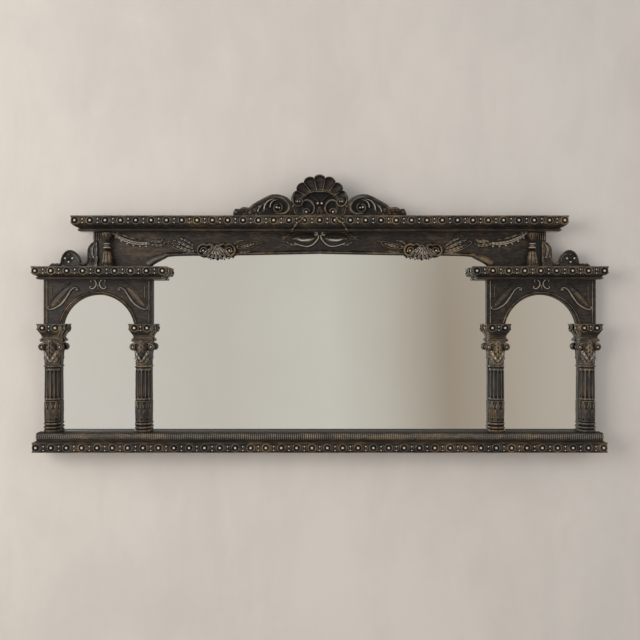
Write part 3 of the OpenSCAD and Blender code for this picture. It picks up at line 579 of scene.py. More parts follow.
def ebonised(name, finishes, grain, brown, gold, dust_and_sheen, shift):
    """Stained and waxed wood: near black, brown where the stain is thin, greyed streaks along
    the grain that are partly dust and partly a painted sheen, what lies low painted black as
    shade, high points rubbed in patches to dull brown and old gold, and painted highlights on
    the tops of beads and ridges."""
    graph = Graph(bpy.data.materials.new(name))
    carve = graph.node("ShaderNodeAttribute", {"attribute_name": "carve"}, None, "Fac")
    cloud = graph.noise(10, detail=3, warp=0.8, shift=shift)
    patch = graph.noise(26, grain, detail=5, rough=0.6, warp=1.0, shift=shift + 3)
    streak = graph.noise(75, grain, detail=6, rough=0.65, warp=0.5, shift=shift + 5)
    fine = graph.noise(420, grain, detail=4, rough=0.6, shift=shift + 7)
    speck = graph.noise(620, detail=3, rough=0.6, shift=shift + 9)
    stain = (cloud * 0.3 + patch * 0.4 + streak * 0.3).over(0.46, 0.57) * brown
    colour = stain.mix(tuple(finishes.ebony), tuple(finishes.brown))
    amber = (cloud * 0.35 + patch * 0.35 + streak * 0.3).over(0.53, 0.63) * (brown * 0.9)
    colour = amber.mix(colour, tuple(finishes.amber))
    # Grey streaks along the grain: partly dust, partly a painted sheen.
    grey_dust_and_sheen = (streak * 0.5 + fine * 0.5).over(0.50, 0.60) * dust_and_sheen
    colour = grey_dust_and_sheen.mix(colour, tuple(finishes.dust_and_sheen))
    # Painted shade: what lies low and the skirts of raised bands go near black, with dark pores.
    hollow = (carve * -1).over(0.02, 0.42)
    painted_shade_and_pores = (hollow * 0.95 + (0.46 - fine).over(0.0, 0.1) * 0.35).clamp()
    colour = painted_shade_and_pores.mix(colour, tuple(finishes.hollow))
    # Rubbed brown and old gold on what stands out; where the tones add shine it is also a painted
    # highlight.
    edge = carve.over(0.10, 0.62) * (0.25 + 0.75 * patch.over(0.38, 0.62))
    rub = cloud.over(0.42, 0.58).mix(tuple(finishes.rubbed), tuple(finishes.gold))
    colour = (edge * gold).clamp().mix(colour, rub)
    # Painted highlight: the tops of beads and ridges are painted pale.
    worn = carve.over(0.62, 1.0) * (0.55 + 0.45 * speck.over(0.35, 0.6))
    colour = worn.clamp().mix(colour, tuple(finishes.worn))
    roughness = 0.36 + 0.2 * speck + 0.28 * hollow - 0.1 * edge
    height = streak * 0.45 + fine * 0.35 + speck * 0.2
    graph.surface(
        {
            "Base Color": colour,
            "Roughness": roughness.clamp(),
            "Specular IOR Level": 0.24,
            "Normal": graph.bump(height, 0.0008),
            "Coat Weight": (0.03 + 0.5 * carve.over(0.2, 0.9)).clamp(),
            "Coat Roughness": 0.2,
        }
    )


def silvered(name, finishes):
    """Old silvered glass: a clear mirror that is dulled a little in soft clouds, with small
    dark specks in the silvering."""
    graph = Graph(bpy.data.materials.new(name))
    cloud = graph.noise(5, detail=5, rough=0.6, warp=0.5)
    speck = graph.noise(240, detail=2, shift=4).over(0.74, 0.80)
    worn = speck * cloud.over(0.55, 0.75)
    colour = (cloud.over(0.3, 0.8) * 0.25).mix(tuple(finishes.silver), (0.78, 0.75, 0.68))
    colour = (worn * 0.35).mix(colour, (0.30, 0.27, 0.22))
    graph.surface(
        {
            "Base Color": colour,
            "Metallic": 1.0,
            "Roughness": (0.035 + 0.03 * cloud + 0.15 * worn).clamp(),
        }
    )


def raw_wood(name, grain):
    """Unfinished softwood at the back: pale brown with darker growth lines, pores and a rough
    sawn face."""
    graph = Graph(bpy.data.materials.new(name))
    ring = graph.noise(26, grain, detail=3, rough=0.5, warp=1.5)
    line = ((ring * 60).math("SINE") * 0.5 + 0.5) ** 2
    pore = graph.noise(520, grain, detail=4, rough=0.6)
    stain = graph.noise(9, detail=5, rough=0.6, warp=0.6)
    colour = line.mix((0.34, 0.22, 0.12), (0.22, 0.13, 0.066))
    colour = (pore.over(0.5, 0.75) * 0.5).mix(colour, (0.13, 0.075, 0.038))
    colour = (stain.over(0.45, 0.75) * 0.6).mix(colour, (0.15, 0.10, 0.065))
    graph.surface(
        {
            "Base Color": colour,
            "Roughness": (0.62 + 0.25 * pore).clamp(),
            "Normal": graph.bump(line * 0.3 + pore * 0.7, 0.0006),
        }
    )


def fibre_board(name):
    """Hardboard: brown pressed fibres, lighter and darker in small flecks, with water marks."""
    graph = Graph(bpy.data.materials.new(name))
    fleck = graph.noise(700, detail=3, rough=0.7)
    felt = graph.noise(150, detail=5, rough=0.65, warp=2.0)
    mark = graph.noise(6, detail=6, rough=0.6, warp=1.0)
    colour = felt.over(0.35, 0.65).mix((0.20, 0.115, 0.055), (0.29, 0.18, 0.095))
    colour = (fleck.over(0.55, 0.75) * 0.5).mix(colour, (0.12, 0.065, 0.03))
    colour = (mark.over(0.5, 0.62) * 0.35).mix(colour, (0.13, 0.075, 0.04))
    graph.surface(
        {
            "Base Color": colour,
            "Roughness": (0.55 + 0.25 * fleck).clamp(),
            "Normal": graph.bump(felt * 0.6 + fleck * 0.4, 0.0004),
        }
    )


def zinc_plate(name):
    """Zinc plated steel: a bright, slightly blue metal, dulled and spotted with rust."""
    graph = Graph(bpy.data.materials.new(name))
    cloud = graph.noise(120, detail=5, rough=0.65)
    spot = graph.noise(420, detail=4, rough=0.7, shift=2).over(0.62, 0.72)
    colour = cloud.over(0.35, 0.7).mix((0.52, 0.53, 0.54), (0.38, 0.38, 0.37))
    colour = (spot * 0.7).mix(colour, (0.16, 0.07, 0.03))
    graph.surface(
        {
            "Base Color": colour,
            "Metallic": (1 - 0.75 * spot).clamp(),
            "Roughness": (0.30 + 0.25 * cloud + 0.3 * spot).clamp(),
            "Normal": graph.bump(cloud * 0.4 + spot * 0.6, 0.0002),
        }
    )


# What a user may change


class MirrorSizes(bpy.types.PropertyGroup):
    """Sizes of the carving, in millimetres."""

    egg_r: bpy.props.FloatProperty(
        name="Egg radius", description="Radius of an egg in a moulding", default=5.9, min=3
    )
    egg_pitch: bpy.props.FloatProperty(
        name="Egg spacing", description="Distance between two eggs", default=40.5, min=20
    )
    reed_pitch: bpy.props.FloatProperty(
        name="Reed spacing", description="Distance between two reeds", default=5.3, min=2
    )
    carving_step: bpy.props.FloatProperty(
        name="Carving step", description="Grid step of a moulding's face", default=1.5, min=0.5
    )
    column_flutes: bpy.props.IntProperty(
        name="Flutes",
        description="Number of flutes round a column",
        default=12,
        min=6,
        subtype="UNSIGNED",
    )
    shell_r: bpy.props.FloatProperty(
        name="Shell radius", description="Radius of the scallop shell", default=76, min=40
    )
    shell_flutes: bpy.props.IntProperty(
        name="Shell flutes",
        description="Number of flutes in the shell",
        default=7,
        min=3,
        subtype="UNSIGNED",
    )


def colour_property(name, description, default):
    """A colour that a user may change."""
    return bpy.props.FloatVectorProperty(
        name=name, description=description, default=default, subtype="COLOR", min=0, max=1
    )


class MirrorFinishes(bpy.types.PropertyGroup):
    """Colours of the wood, the glass and the room."""

    ebony: colour_property("Ebony", "Stained wood", (0.0085, 0.0068, 0.0052))
    brown: colour_property("Brown", "Wood where the stain is thin", (0.056, 0.032, 0.018))
    amber: colour_property("Amber", "Streaks of bare wood", (0.150, 0.088, 0.043))
    # Grey streaks that are partly dust and partly a painted sheen
    dust_and_sheen: colour_property("Dust", "Greyed faces", (0.058, 0.049, 0.040))
    # Colour of the painted shade in hollows and along the skirts of raised bands
    hollow: colour_property("Hollow", "Depth of the carving", (0.0022, 0.0017, 0.0012))
    rubbed: colour_property("Rubbed", "Edges worn by handling", (0.115, 0.094, 0.072))
    gold: colour_property("Gold", "Old gilding that shows through", (0.215, 0.150, 0.078))
    # Colour of the painted highlights on the tops of beads and ridges
    worn: colour_property("Worn", "Beads polished bright", (0.500, 0.450, 0.375))
    silver: colour_property("Silver", "Mirror glass", (0.86, 0.86, 0.84))
    wall: colour_property("Wall", "Limewashed wall", (0.62, 0.575, 0.52))
    floor: colour_property("Floor", "Pale floor", (0.66, 0.63, 0.59))


# The stage, with its sizes in metres

ROOM_HALF_WIDTH = 4
ROOM_FRONT_Y = -5
ROOM_BACK_Y = 3
WALL_Y = 0.0015
FLOOR_Z = -1
WALL_TOP_Z = 3
CAMERA_PLACE = (0.0008, -2.5875, 0.3502)
CAMERA_LENS_MM = 53.44
CAMERA_SENSOR_MM = 36

# Each lamp's name, place, the point that it faces, its size, power and colour
LAMPS = (
    ("key", (-2.35, -2.4, 0.8), (-0.1, 0, 0.3), 1.9, 63, (1.0, 0.975, 0.94)),
    ("fill", (2.6, -2.6, 0.5), (0.1, 0, 0.3), 2.4, 22, (0.95, 0.97, 1.0)),
    ("top", (-0.3, -2.4, 2.0), (0, 0, 0.4), 2.4, 5, (1.0, 1.0, 1.0)),
)

# What glass and metal show of the room: a colour at each share of the way from left to right,
# the colour over it, the even light, and the plain background
ROOM_STOPS = (
    (0.00, (0.68, 0.65, 0.60)),
    (0.30, (0.59, 0.56, 0.51)),
    (0.50, (0.64, 0.62, 0.565)),
    (0.60, (0.55, 0.52, 0.46)),
    (0.71, (0.36, 0.305, 0.24)),
    (0.90, (0.50, 0.45, 0.385)),
)
ROOM_UPPER = (0.50, 0.49, 0.44)
EVEN_COLOUR = (0.97, 0.97, 1.0)
EVEN_STRENGTH = 0.54
BACKGROUND = (0.80, 0.78, 0.75)


class MIRROR_OT_stage(bpy.types.Operator):
    """Adds the wall, the floor, the lamps, the world and the camera"""

    bl_idname = "mirror.stage"
    bl_label = "Stage"

    def plane(self, name, corners, colour, only_seen):
        """A plaster plane that shows its front only. Where only_seen is true the light that
        doesn't reach the camera straight passes through it."""
        mesh = bpy.data.meshes.new(name)
        mesh.from_pydata(corners, [], [(0, 1, 2, 3)])
        graph = Graph(bpy.data.materials.new(name))
        cloud = graph.noise(1.6, detail=7, rough=0.6, warp=0.5)
        trowel = graph.noise(9, (1, 1, 0.4), detail=8, rough=0.62, warp=0.8)
        shade = (cloud * 0.6 + trowel * 0.4).over(0.36, 0.64)
        dark = tuple(c * 0.90 for c in colour)
        values = {
            "Base Color": shade.mix(dark, tuple(colour)),
            "Roughness": 0.9,
            "Normal": graph.bump(trowel, 0.0015),
        }
        plaster = graph.node("ShaderNodeBsdfPrincipled", None, values, "BSDF")
        clear = graph.node("ShaderNodeBsdfTransparent")
        seen = 1 - graph.node("ShaderNodeNewGeometry", output="Backfacing")
        if only_seen:
            seen = graph.node("ShaderNodeLightPath", output="Is Camera Ray") * seen
        mixed = graph.node("ShaderNodeMixShader", None, {0: seen, 1: clear, 2: plaster})
        graph.node("ShaderNodeOutputMaterial", None, {"Surface": mixed})
        mesh.materials.append(bpy.data.materials[name])
        plane = bpy.data.objects.new(name, mesh)
        bpy.context.scene.collection.objects.link(plane)

    def lamp(self, name, place, aim, size, power, colour):
        """A soft square lamp that faces a point."""
        data = bpy.data.lights.new(name, "AREA")
        data.size, data.energy, data.color = size, power, colour
        lamp = bpy.data.objects.new(name, data)
        lamp.location = place
        from_to = Vector(aim) - Vector(place)
        lamp.rotation_euler = from_to.to_track_quat("-Z", "Y").to_euler()
        bpy.context.scene.collection.objects.link(lamp)

    def world(self):
        """A plain pale room. Its light is even, and what glass and metal show of it runs
        softly from a bright left to a darker right."""
        world = bpy.data.worlds.new("room")
        bpy.context.scene.world = world
        graph = Graph(world)
        way = graph.node("ShaderNodeTexCoord", output="Generated")
        parts = {
            axis: graph.node("ShaderNodeSeparateXYZ", None, {0: way}, axis) for axis in "XYZ"
        }
        values = {"Vector": way, "Scale": 1.3, "Detail": 1.0}
        shift = (graph.node("ShaderNodeTexNoise", None, values) - 0.5) * 0.08
        side = ((parts["X"] + shift + 0.3) / 0.6).clamp()
        shown = graph.node("ShaderNodeValToRGB", {"stops": ROOM_STOPS}, {0: side})
        lift = (parts["Z"] + shift).over(-0.02, 0.12)
        shown = (lift * 0.25).mix(shown, ROOM_UPPER)
        even = graph.node("ShaderNodeBackground", None, {0: EVEN_COLOUR, 1: EVEN_STRENGTH})
        room = graph.node("ShaderNodeBackground", None, {0: shown, 1: 1.0})
        pale = graph.node("ShaderNodeBackground", None, {0: BACKGROUND, 1: 1.0})
        glossy = graph.node("ShaderNodeLightPath", output="Is Glossy Ray")
        camera = graph.node("ShaderNodeLightPath", output="Is Camera Ray")
        clear = graph.node("ShaderNodeLightPath", output="Is Transmission Ray")
        mirrored = (glossy + clear).clamp()
        first = graph.node("ShaderNodeMixShader", None, {0: mirrored, 1: even, 2: room})
        last = graph.node("ShaderNodeMixShader", None, {0: camera, 1: first, 2: pale})
        graph.node("ShaderNodeOutputWorld", None, {"Surface": last})

    def camera(self):
        """The camera looks at the mirror from the front."""
        data = bpy.data.cameras.new("camera")
        data.lens, data.sensor_width = CAMERA_LENS_MM, CAMERA_SENSOR_MM
        camera = bpy.data.objects.new("camera", data)
        camera.location = CAMERA_PLACE
        camera.rotation_euler = (math.radians(90), 0, 0)
        bpy.context.scene.collection.objects.link(camera)
        bpy.context.scene.camera = camera

    def execute(self, context):
        finishes = context.scene.mirror_finishes
        left, right = -ROOM_HALF_WIDTH, ROOM_HALF_WIDTH
        wall = [
            (left, WALL_Y, FLOOR_Z),
            (right, WALL_Y, FLOOR_Z),
            (right, WALL_Y, WALL_TOP_Z),
            (left, WALL_Y, WALL_TOP_Z),
        ]
        floor = [
            (left, ROOM_FRONT_Y, FLOOR_Z),
            (right, ROOM_FRONT_Y, FLOOR_Z),
            (right, ROOM_BACK_Y, FLOOR_Z),
            (left, ROOM_BACK_Y, FLOOR_Z),
        ]
        self.plane("wall", wall, finishes.wall, True)
        self.plane("floor", floor, finishes.floor, False)
        self.world()
        for lamp in LAMPS:
            self.lamp(*lamp)
        self.camera()
        context.scene.view_settings.view_transform = "Standard"
        return {"FINISHED"}


# Each wood's name, the noise's stretch along the grain, its shares of brown, rubbed gold and
# grey streaks that are dust and painted sheen, and the place where its noise starts
WOODS = (
    ("carved ebony", (1, 3, 3), 0.45, 0.8, 0.45, 1),
    ("column ebony", (5, 5, 0.5), 0.7, 1.0, 0.95, 2),
    ("rubbed carving", (1, 2, 2), 0.6, 1.0, 0.4, 3),
    ("board ebony", (1, 4, 4), 0.52, 0.6, 0.5, 4),
    ("stile ebony", (4, 4, 1), 0.7, 0.6, 0.6, 5),
)

# The finish of each plain node
DRESS = {
    "silvered glass": ["center_glass", "left_glass", "right_glass"],
    "hardboard": ["center_backing", "left_backing", "right_backing"],
    "raw rails": ["retaining_beads", "top_rail", "left_side_rail", "right_side_rail"],
    "board ebony": ["frieze_board", "left_arch_panel", "right_arch_panel", "bottom_rail"],
    "stile ebony": [
        "left_outer_stile",
        "left_inner_stile",
        "right_inner_stile",
        "right_outer_stile",
    ],
    "zinc plate": ["hanger_straps", "hanger_screws", "left_ring", "right_ring"],
}


class MIRROR_OT_finishes(bpy.types.Operator):
    """Makes the finishes, and gives the boards, glass, backs and hangers theirs"""

    bl_idname = "mirror.finishes"
    bl_label = "Finishes"

    def execute(self, context):
        finishes = context.scene.mirror_finishes
        for name, grain, brown, gold, dust_and_sheen, shift in WOODS:
            ebonised(name, finishes, grain, brown, gold, dust_and_sheen, shift)
        silvered("silvered glass", finishes)
        raw_wood("raw rails", (1, 9, 9))
        fibre_board("hardboard")
        zinc_plate("zinc plate")
        for finish, nodes in DRESS.items():
            for node in nodes:
                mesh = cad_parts[node].data
                mesh.materials.clear()
                mesh.materials.append(bpy.data.materials[finish])
        return {"FINISHED"}


# Mouldings with eggs


def egg_profile(r):
    """An egg in its dish: a dome of radius r, a hollow round it and a rolled rim, then back
    into the wood. Each point is a radius, a height over the face and a tone."""
    a = np.radians(np.linspace(88, -25, 10))
    # Tones: a painted highlight on the dome's top, painted shade in the dish and at the foot, and
    # the rim painted lighter over its crown than on its sides.
    worn = np.maximum(highlight_and_shade(np.sin(a), 0.72), -0.25)
    dome = np.stack([r * np.cos(a), (EGG_PROUD + 1) * np.sin(a) - 1, worn], -1)
    dish = [(r + 0.5, -3.3, -1), (r + 1.4, -3.3, -1)]
    tone = 0.25 * np.sin(np.radians(np.linspace(200, -10, 7))) - 0.15
    rim = np.column_stack([arc(r + 3.4, -0.2, 1.6, 200, -10, 7), tone])
    return np.vstack([dome, dish, rim, [(r + 4.8, -7.5, -0.5)]])


def dart_shell(z, face):
    """The dart between two eggs: a round bead over two bars and a wide bead, between two
    tongues that follow the rims."""
    dart = Shell()
    for drop, r, tall in ((3.6, 2.9, 1.0), (-6.4, 3.3, 0.6)):
        # Each bead's foot is painted dark as shade.
        bead = np.vstack([pearl(r, 0), [(r * 0.8, -3, -1)]])
        dart.turned(bead, [(0, z + drop)], face, tall, 12)
    for drop in (-1.2, -3.4):
        bar = spaced([(-2.4, z + drop), (2.4, z + drop)], 7)
        dart.band(bar, 0.75, 1.6, (0.3, 0.3), face, 7)
    for side in (-1, 1):
        tongue = sided((0, z), [(7.4, 9.5), (5.6, 4.5), (5, -1), (6, -6), (8.4, -10)], side)
        dart.band(curve(tongue, 11), 1.15, 1.7, (0.2, 0.3), face, 7)
    return dart


def egg_moulding(span, first, last, egg_z, section, sizes, returns=()):
    """A moulding with eggs evenly spaced from first to last and darts between them. The face
    moves back under each egg's dish. Returns names the ends, as -1 and 1, that have an egg
    and two beads."""
    count = max(1, round((last - first) / sizes.egg_pitch))
    step = (last - first) / count
    outer = span.d1 - EGG_PROUD
    face = outer - EGG_BAND_INSET
    profile = egg_profile(sizes.egg_r)
    reach = profile[:, 0].max()

    def sunk(x, z):
        """Depth of the dish round the nearest egg."""
        near = np.clip(np.round((x - first) / step), 0, count) * step + first
        away = np.hypot(x - near, z - egg_z)
        return DISH_DEPTH * (1 - step_up(away, reach - 3.2, reach - 1.0))

    shell = Shell()
    shell.moulding(span.x0, span.x1, BURIED_D, outer, section, sizes.carving_step, sunk)
    eggs = np.stack([first + step * np.arange(count + 1), np.full(count + 1, egg_z)], -1)
    shell.turned(profile, eggs, face, around=22)
    shifts = [(first + step * (k + 0.5), 0, 0) for k in range(count)]
    shell.add(dart_shell(egg_z, face), shifts)
    egg_d, bead_d = outer - reach - 3, outer - 2 * reach - 8
    for side in returns:
        end = side * ((span.x1 if side > 0 else -span.x0) - EGG_BAND_INSET)
        shell.turned(profile, [(egg_d, egg_z)], end, side=side)
        beads = [(bead_d, egg_z + 3), (bead_d, egg_z - 5)]
        shell.turned(pearl(2.6, 0), beads, end, side=side)
    return shell


def cornice_section(z0, h, upright, slope):
    """A cornice from below: a bead, a groove, an ovolo that slopes outwards, the upright band
    for the eggs and a thin top fillet. Each point is an inset and a height."""
    z1 = z0 + h
    band = z1 - upright
    bead = arc(-slope - 4, z0 + 3.5, 3.4, -85, 85, 9) * [-1, 1]
    t = np.linspace(0, 1, 11)
    turn = t * np.pi / 2
    inset = slope * (1 - 0.55 * np.sin(turn) - 0.45 * t) + 0.3
    ovolo_h = band - z0 - 9.6
    ovolo = np.stack([inset, z0 + 9.6 + ovolo_h * (0.55 * (1 - np.cos(turn)) + 0.45 * t)], -1)
    low = sided((slope, z0), [(3.6, 7.1), (3.6, 8.4), (0.8, 8.9)])
    dip = sided((0, band), [(0, 0.8), (0, 1.6), (1.4, 2.2)])
    top = sided(
        (0, z1),
        [(1.4, -3.8), (0.3, -3.3), (0, -2.6), (0, -0.8), (0.8, 0), (4, 0)],
    )
    face = filled(np.vstack([[(slope + 5, z0)], bead, low, ovolo, dip, top]), 1.2)
    return np.vstack([face, [(12, z1), (30, z1)]])


class MIRROR_OT_top_cornice(bpy.types.Operator):
    """Egg-and-dart cornice over the frieze"""

    bl_idname = "mirror.top_cornice"
    bl_label = "Top cornice"

    def execute(self, context):
        sizes = context.scene.mirror_sizes
        section = cornice_section(TOP.z0, TOP.z1 - TOP.z0, 18, 15)
        first = TOP.x0 + FIRST_EGG
        shell = egg_moulding(TOP, first, -first, TOP.z1 - 12.8, section, sizes)
        add_piece("top_cornice_carving", shell, "carved ebony", "carved_wood", ["top_cornice"])
        return {"FINISHED"}


class MIRROR_OT_side_cornices(bpy.types.Operator):
    """Egg-and-dart cornices over the two bays"""

    bl_idname = "mirror.side_cornices"
    bl_label = "Side cornices"

    def execute(self, context):
        sizes = context.scene.mirror_sizes
        section = cornice_section(SIDE.z0, SIDE.z1 - SIDE.z0, 17, 10)
        first, last = SIDE.x0 + FIRST_EGG, SIDE.x1 - FIRST_EGG
        shell = egg_moulding(SIDE, first, last, SIDE.z1 - 12, section, sizes, (1,))
        add_pair("side_cornice", shell, "carved ebony", "carved_wood")
        return {"FINISHED"}


class MIRROR_OT_base(bpy.types.Operator):
    """Egg-and-dart base, and the reeded moulding that stands on it"""

    bl_idname = "mirror.base"
    bl_label = "Base mouldings"

    def eggs(self, sizes):
        """The base moulding, with its eggs between two fillets."""
        low = [(0.8, 0), (0, 0.8), (0, 1.8), (1.4, 2.4)]
        high = sided(
            (0, BASE.z1),
            [(1.4, -6.2), (0.4, -5.6), (0, -5), (0, -4.2), (1, -3.4), (4, -2.6), (6, -1.6),
             (8, 0), (12, 0)],
        )
        section = np.vstack([filled(np.vstack([low, high]), 1.3), [(30, BASE.z1)]])
        first = BASE.x0 + FIRST_EGG
        return egg_moulding(BASE, first, -first, 13.0, section, sizes)

    def reeds(self, sizes):
        """The reeded moulding: a swelling band that is cut into upright reeds."""
        z0, z1 = REEDS.z0, REEDS.z1
        count = round((REEDS.x1 - REEDS.x0) / sizes.reed_pitch)
        pitch = (REEDS.x1 - REEDS.x0) / count
        middle, half = (z0 + z1) / 2 + 0.6, (z1 - z0) / 2 - 1.6

        def valleys(x, z):
            """A reed's face is half round: the gap to it grows with the sine of the place."""
            over = 1 - step_up(np.abs(z - middle) / half, 0.92, 1.0)
            place = np.abs((x - REEDS.x0) / pitch % 1 - 0.5) * 2
            return over * 3.0 * (1 - np.sqrt(1 - 0.94 * place**2))

        turn = np.radians(np.linspace(-78, 78, 15))
        swell = np.stack([7 - 7 * np.cos(turn), middle + half * np.sin(turn)], -1)
        low = [(7.5, z0), (6.6, z0 + 0.6), (6.6, z0 + 1.4)]
        high = [(6.4, z1 - 0.8), (7.2, z1), (12, z1)]
        section = np.vstack([filled(np.vstack([low, swell, high]), 1.6), [(30, z1)]])
        # Painted light: the swelling reeds are lightened a little and the flat top is painted dark
        # as shade.
        tone = 0.2 - 1.1 * step_up(section[:, 1, None], z1 - 1.4, z1 - 0.6)
        return Shell().moulding(
            REEDS.x0, REEDS.x1, BURIED_D, REEDS.d1, section, 0.8, valleys, 0.0, tone
        )

    def execute(self, context):
        sizes = context.scene.mirror_sizes
        finish = ("carved ebony", "carved_wood")
        add_piece("base_carving", self.eggs(sizes), *finish, ["base_moulding"])
        reeds = self.reeds(sizes)
        add_piece("reeds", reeds, *finish, ["reeded_moulding"], spread=4, scale=0.3)
        return {"FINISHED"}


# Columns, capitals and imposts

# A column's radius, the heights of its drum and its flutes over its foot, and how far the
# flutes end below its top
COLUMN_RADIUS = 21.0
DRUM_LOW = 29
DRUM_HIGH = 82
FLUTES_LOW = 90
FLUTES_BELOW_TOP = 14

# Number of leaves in a ring round a column or a capital, and round a baluster
LEAVES = 8
BALUSTER_LEAVES = 7

# Half the width of an abacus, and half the distance of the eggs at an impost's corners
ABACUS_HALF = 27
IMPOST_EGG_X = 16.8


def leaves_round(a, z, count, low, high, thick, shift=0.0):
    """Relief of a ring of upright leaves: in each leaf's share of the turn the face is a half
    round that narrows to the tip, thickest near the tip, with a sunk midrib."""
    u = (a * count / (2 * np.pi) + shift) % 1 - 0.5
    s = (z - low) / (high - low)
    inside = (s >= 0) & (s <= 1)
    s = np.clip(s, 0, 1)
    half = 0.47 * np.sqrt(1 - s**2.6) * (0.9 + 0.1 * np.cos(18 * s)) + 0.001
    face = np.sqrt(np.clip(1 - (u / half) ** 2, 0, 1))
    rise = thick * (0.55 + 0.75 * s**2) * face**0.7 - 0.45 * thick * bump(u, 0.05) * (face > 0)
    return np.where(inside, rise, 0)


class MIRROR_OT_columns(bpy.types.Operator):
    """Four engaged columns with foot rings, a carved drum and a fluted shaft"""

    bl_idname = "mirror.columns"
    bl_label = "Columns"

    def profile(self, z0, z1):
        """Radius and height of a column: three foot rings, drum, groove, shaft, astragal."""
        r, h = COLUMN_RADIUS, z1 - z0
        parts = [
            [(20.4, 0)],
            arc(r + 0.2, 4, 2.5, -70, 70, 7) - [1.2, 0],
            [(r - 2.2, 7.6), (r - 2.2, 8.8)],
            arc(r + 0.2, 12.4, 2.9, -70, 70, 7) - [1.2, 0],
            [(r - 2.0, 16.2), (r - 2.0, 18.6)],
            arc(r - 0.2, 22.4, 2.9, -70, 70, 7) - [1.2, 0],
            [(r - 1.4, 26.4), (r - 0.6, 28)],
            np.stack([np.full(30, r - 0.6), np.linspace(29, 82, 30)], -1),
            [(r - 0.6, 83.4), (r - 2.2, 84.2), (r - 2.2, 85.8), (r - 0.2, 86.6)],
            np.stack([np.linspace(r - 0.2, r - 0.9, 46), np.linspace(87.5, h - 12, 46)], -1),
            [(r - 1.0, h - 10), (r - 1.6, h - 8), (r - 1.8, h - 6.4)],
            arc(r - 0.4, h - 3.2, 2.6, -75, 75, 8) - [0.8, 0],
            [(r - 1.0, h)],
        ]
        return np.vstack(parts) + [0, z0]

    def execute(self, context):
        flutes = context.scene.mirror_sizes.column_flutes
        z0, z1 = OUTER_COLUMN.z0, OUTER_COLUMN.z1

        def relief(a, z):
            """Leaves on the drum, then hollow flutes with round ends on the shaft."""
            low, high = z0 + FLUTES_LOW, z1 - FLUTES_BELOW_TOP
            u = np.abs((a * flutes / (2 * np.pi)) % 1 - 0.5) / 0.40
            over = np.clip(np.maximum(low + 3 - z, z - high + 3) / 3, 0, 1)
            hollow = np.sqrt(np.clip(1 - u**2 - over**2, 0, 1)) * ((z > low) & (z < high))
            foot, head = z0 + DRUM_LOW, z0 + DRUM_HIGH
            drum = np.maximum(
                leaves_round(a, z, LEAVES, foot, z0 + 62, 1.5),
                leaves_round(a, z, LEAVES, z0 + 38, head, 1.7, 0.5),
            )
            return drum * 0.9 - 1.7 * hollow - 0.6 * ((z > foot) & (z < head))

        for place, x in four_places():
            shell = Shell().lathe(self.profile(z0, z1), x, COLUMN_AXIS_D, relief, 192)
            node = f"{place}_column"
            add_piece(f"{node}_carving", shell, "column ebony", "column_wood", [node], scale=0.4)
        return {"FINISHED"}


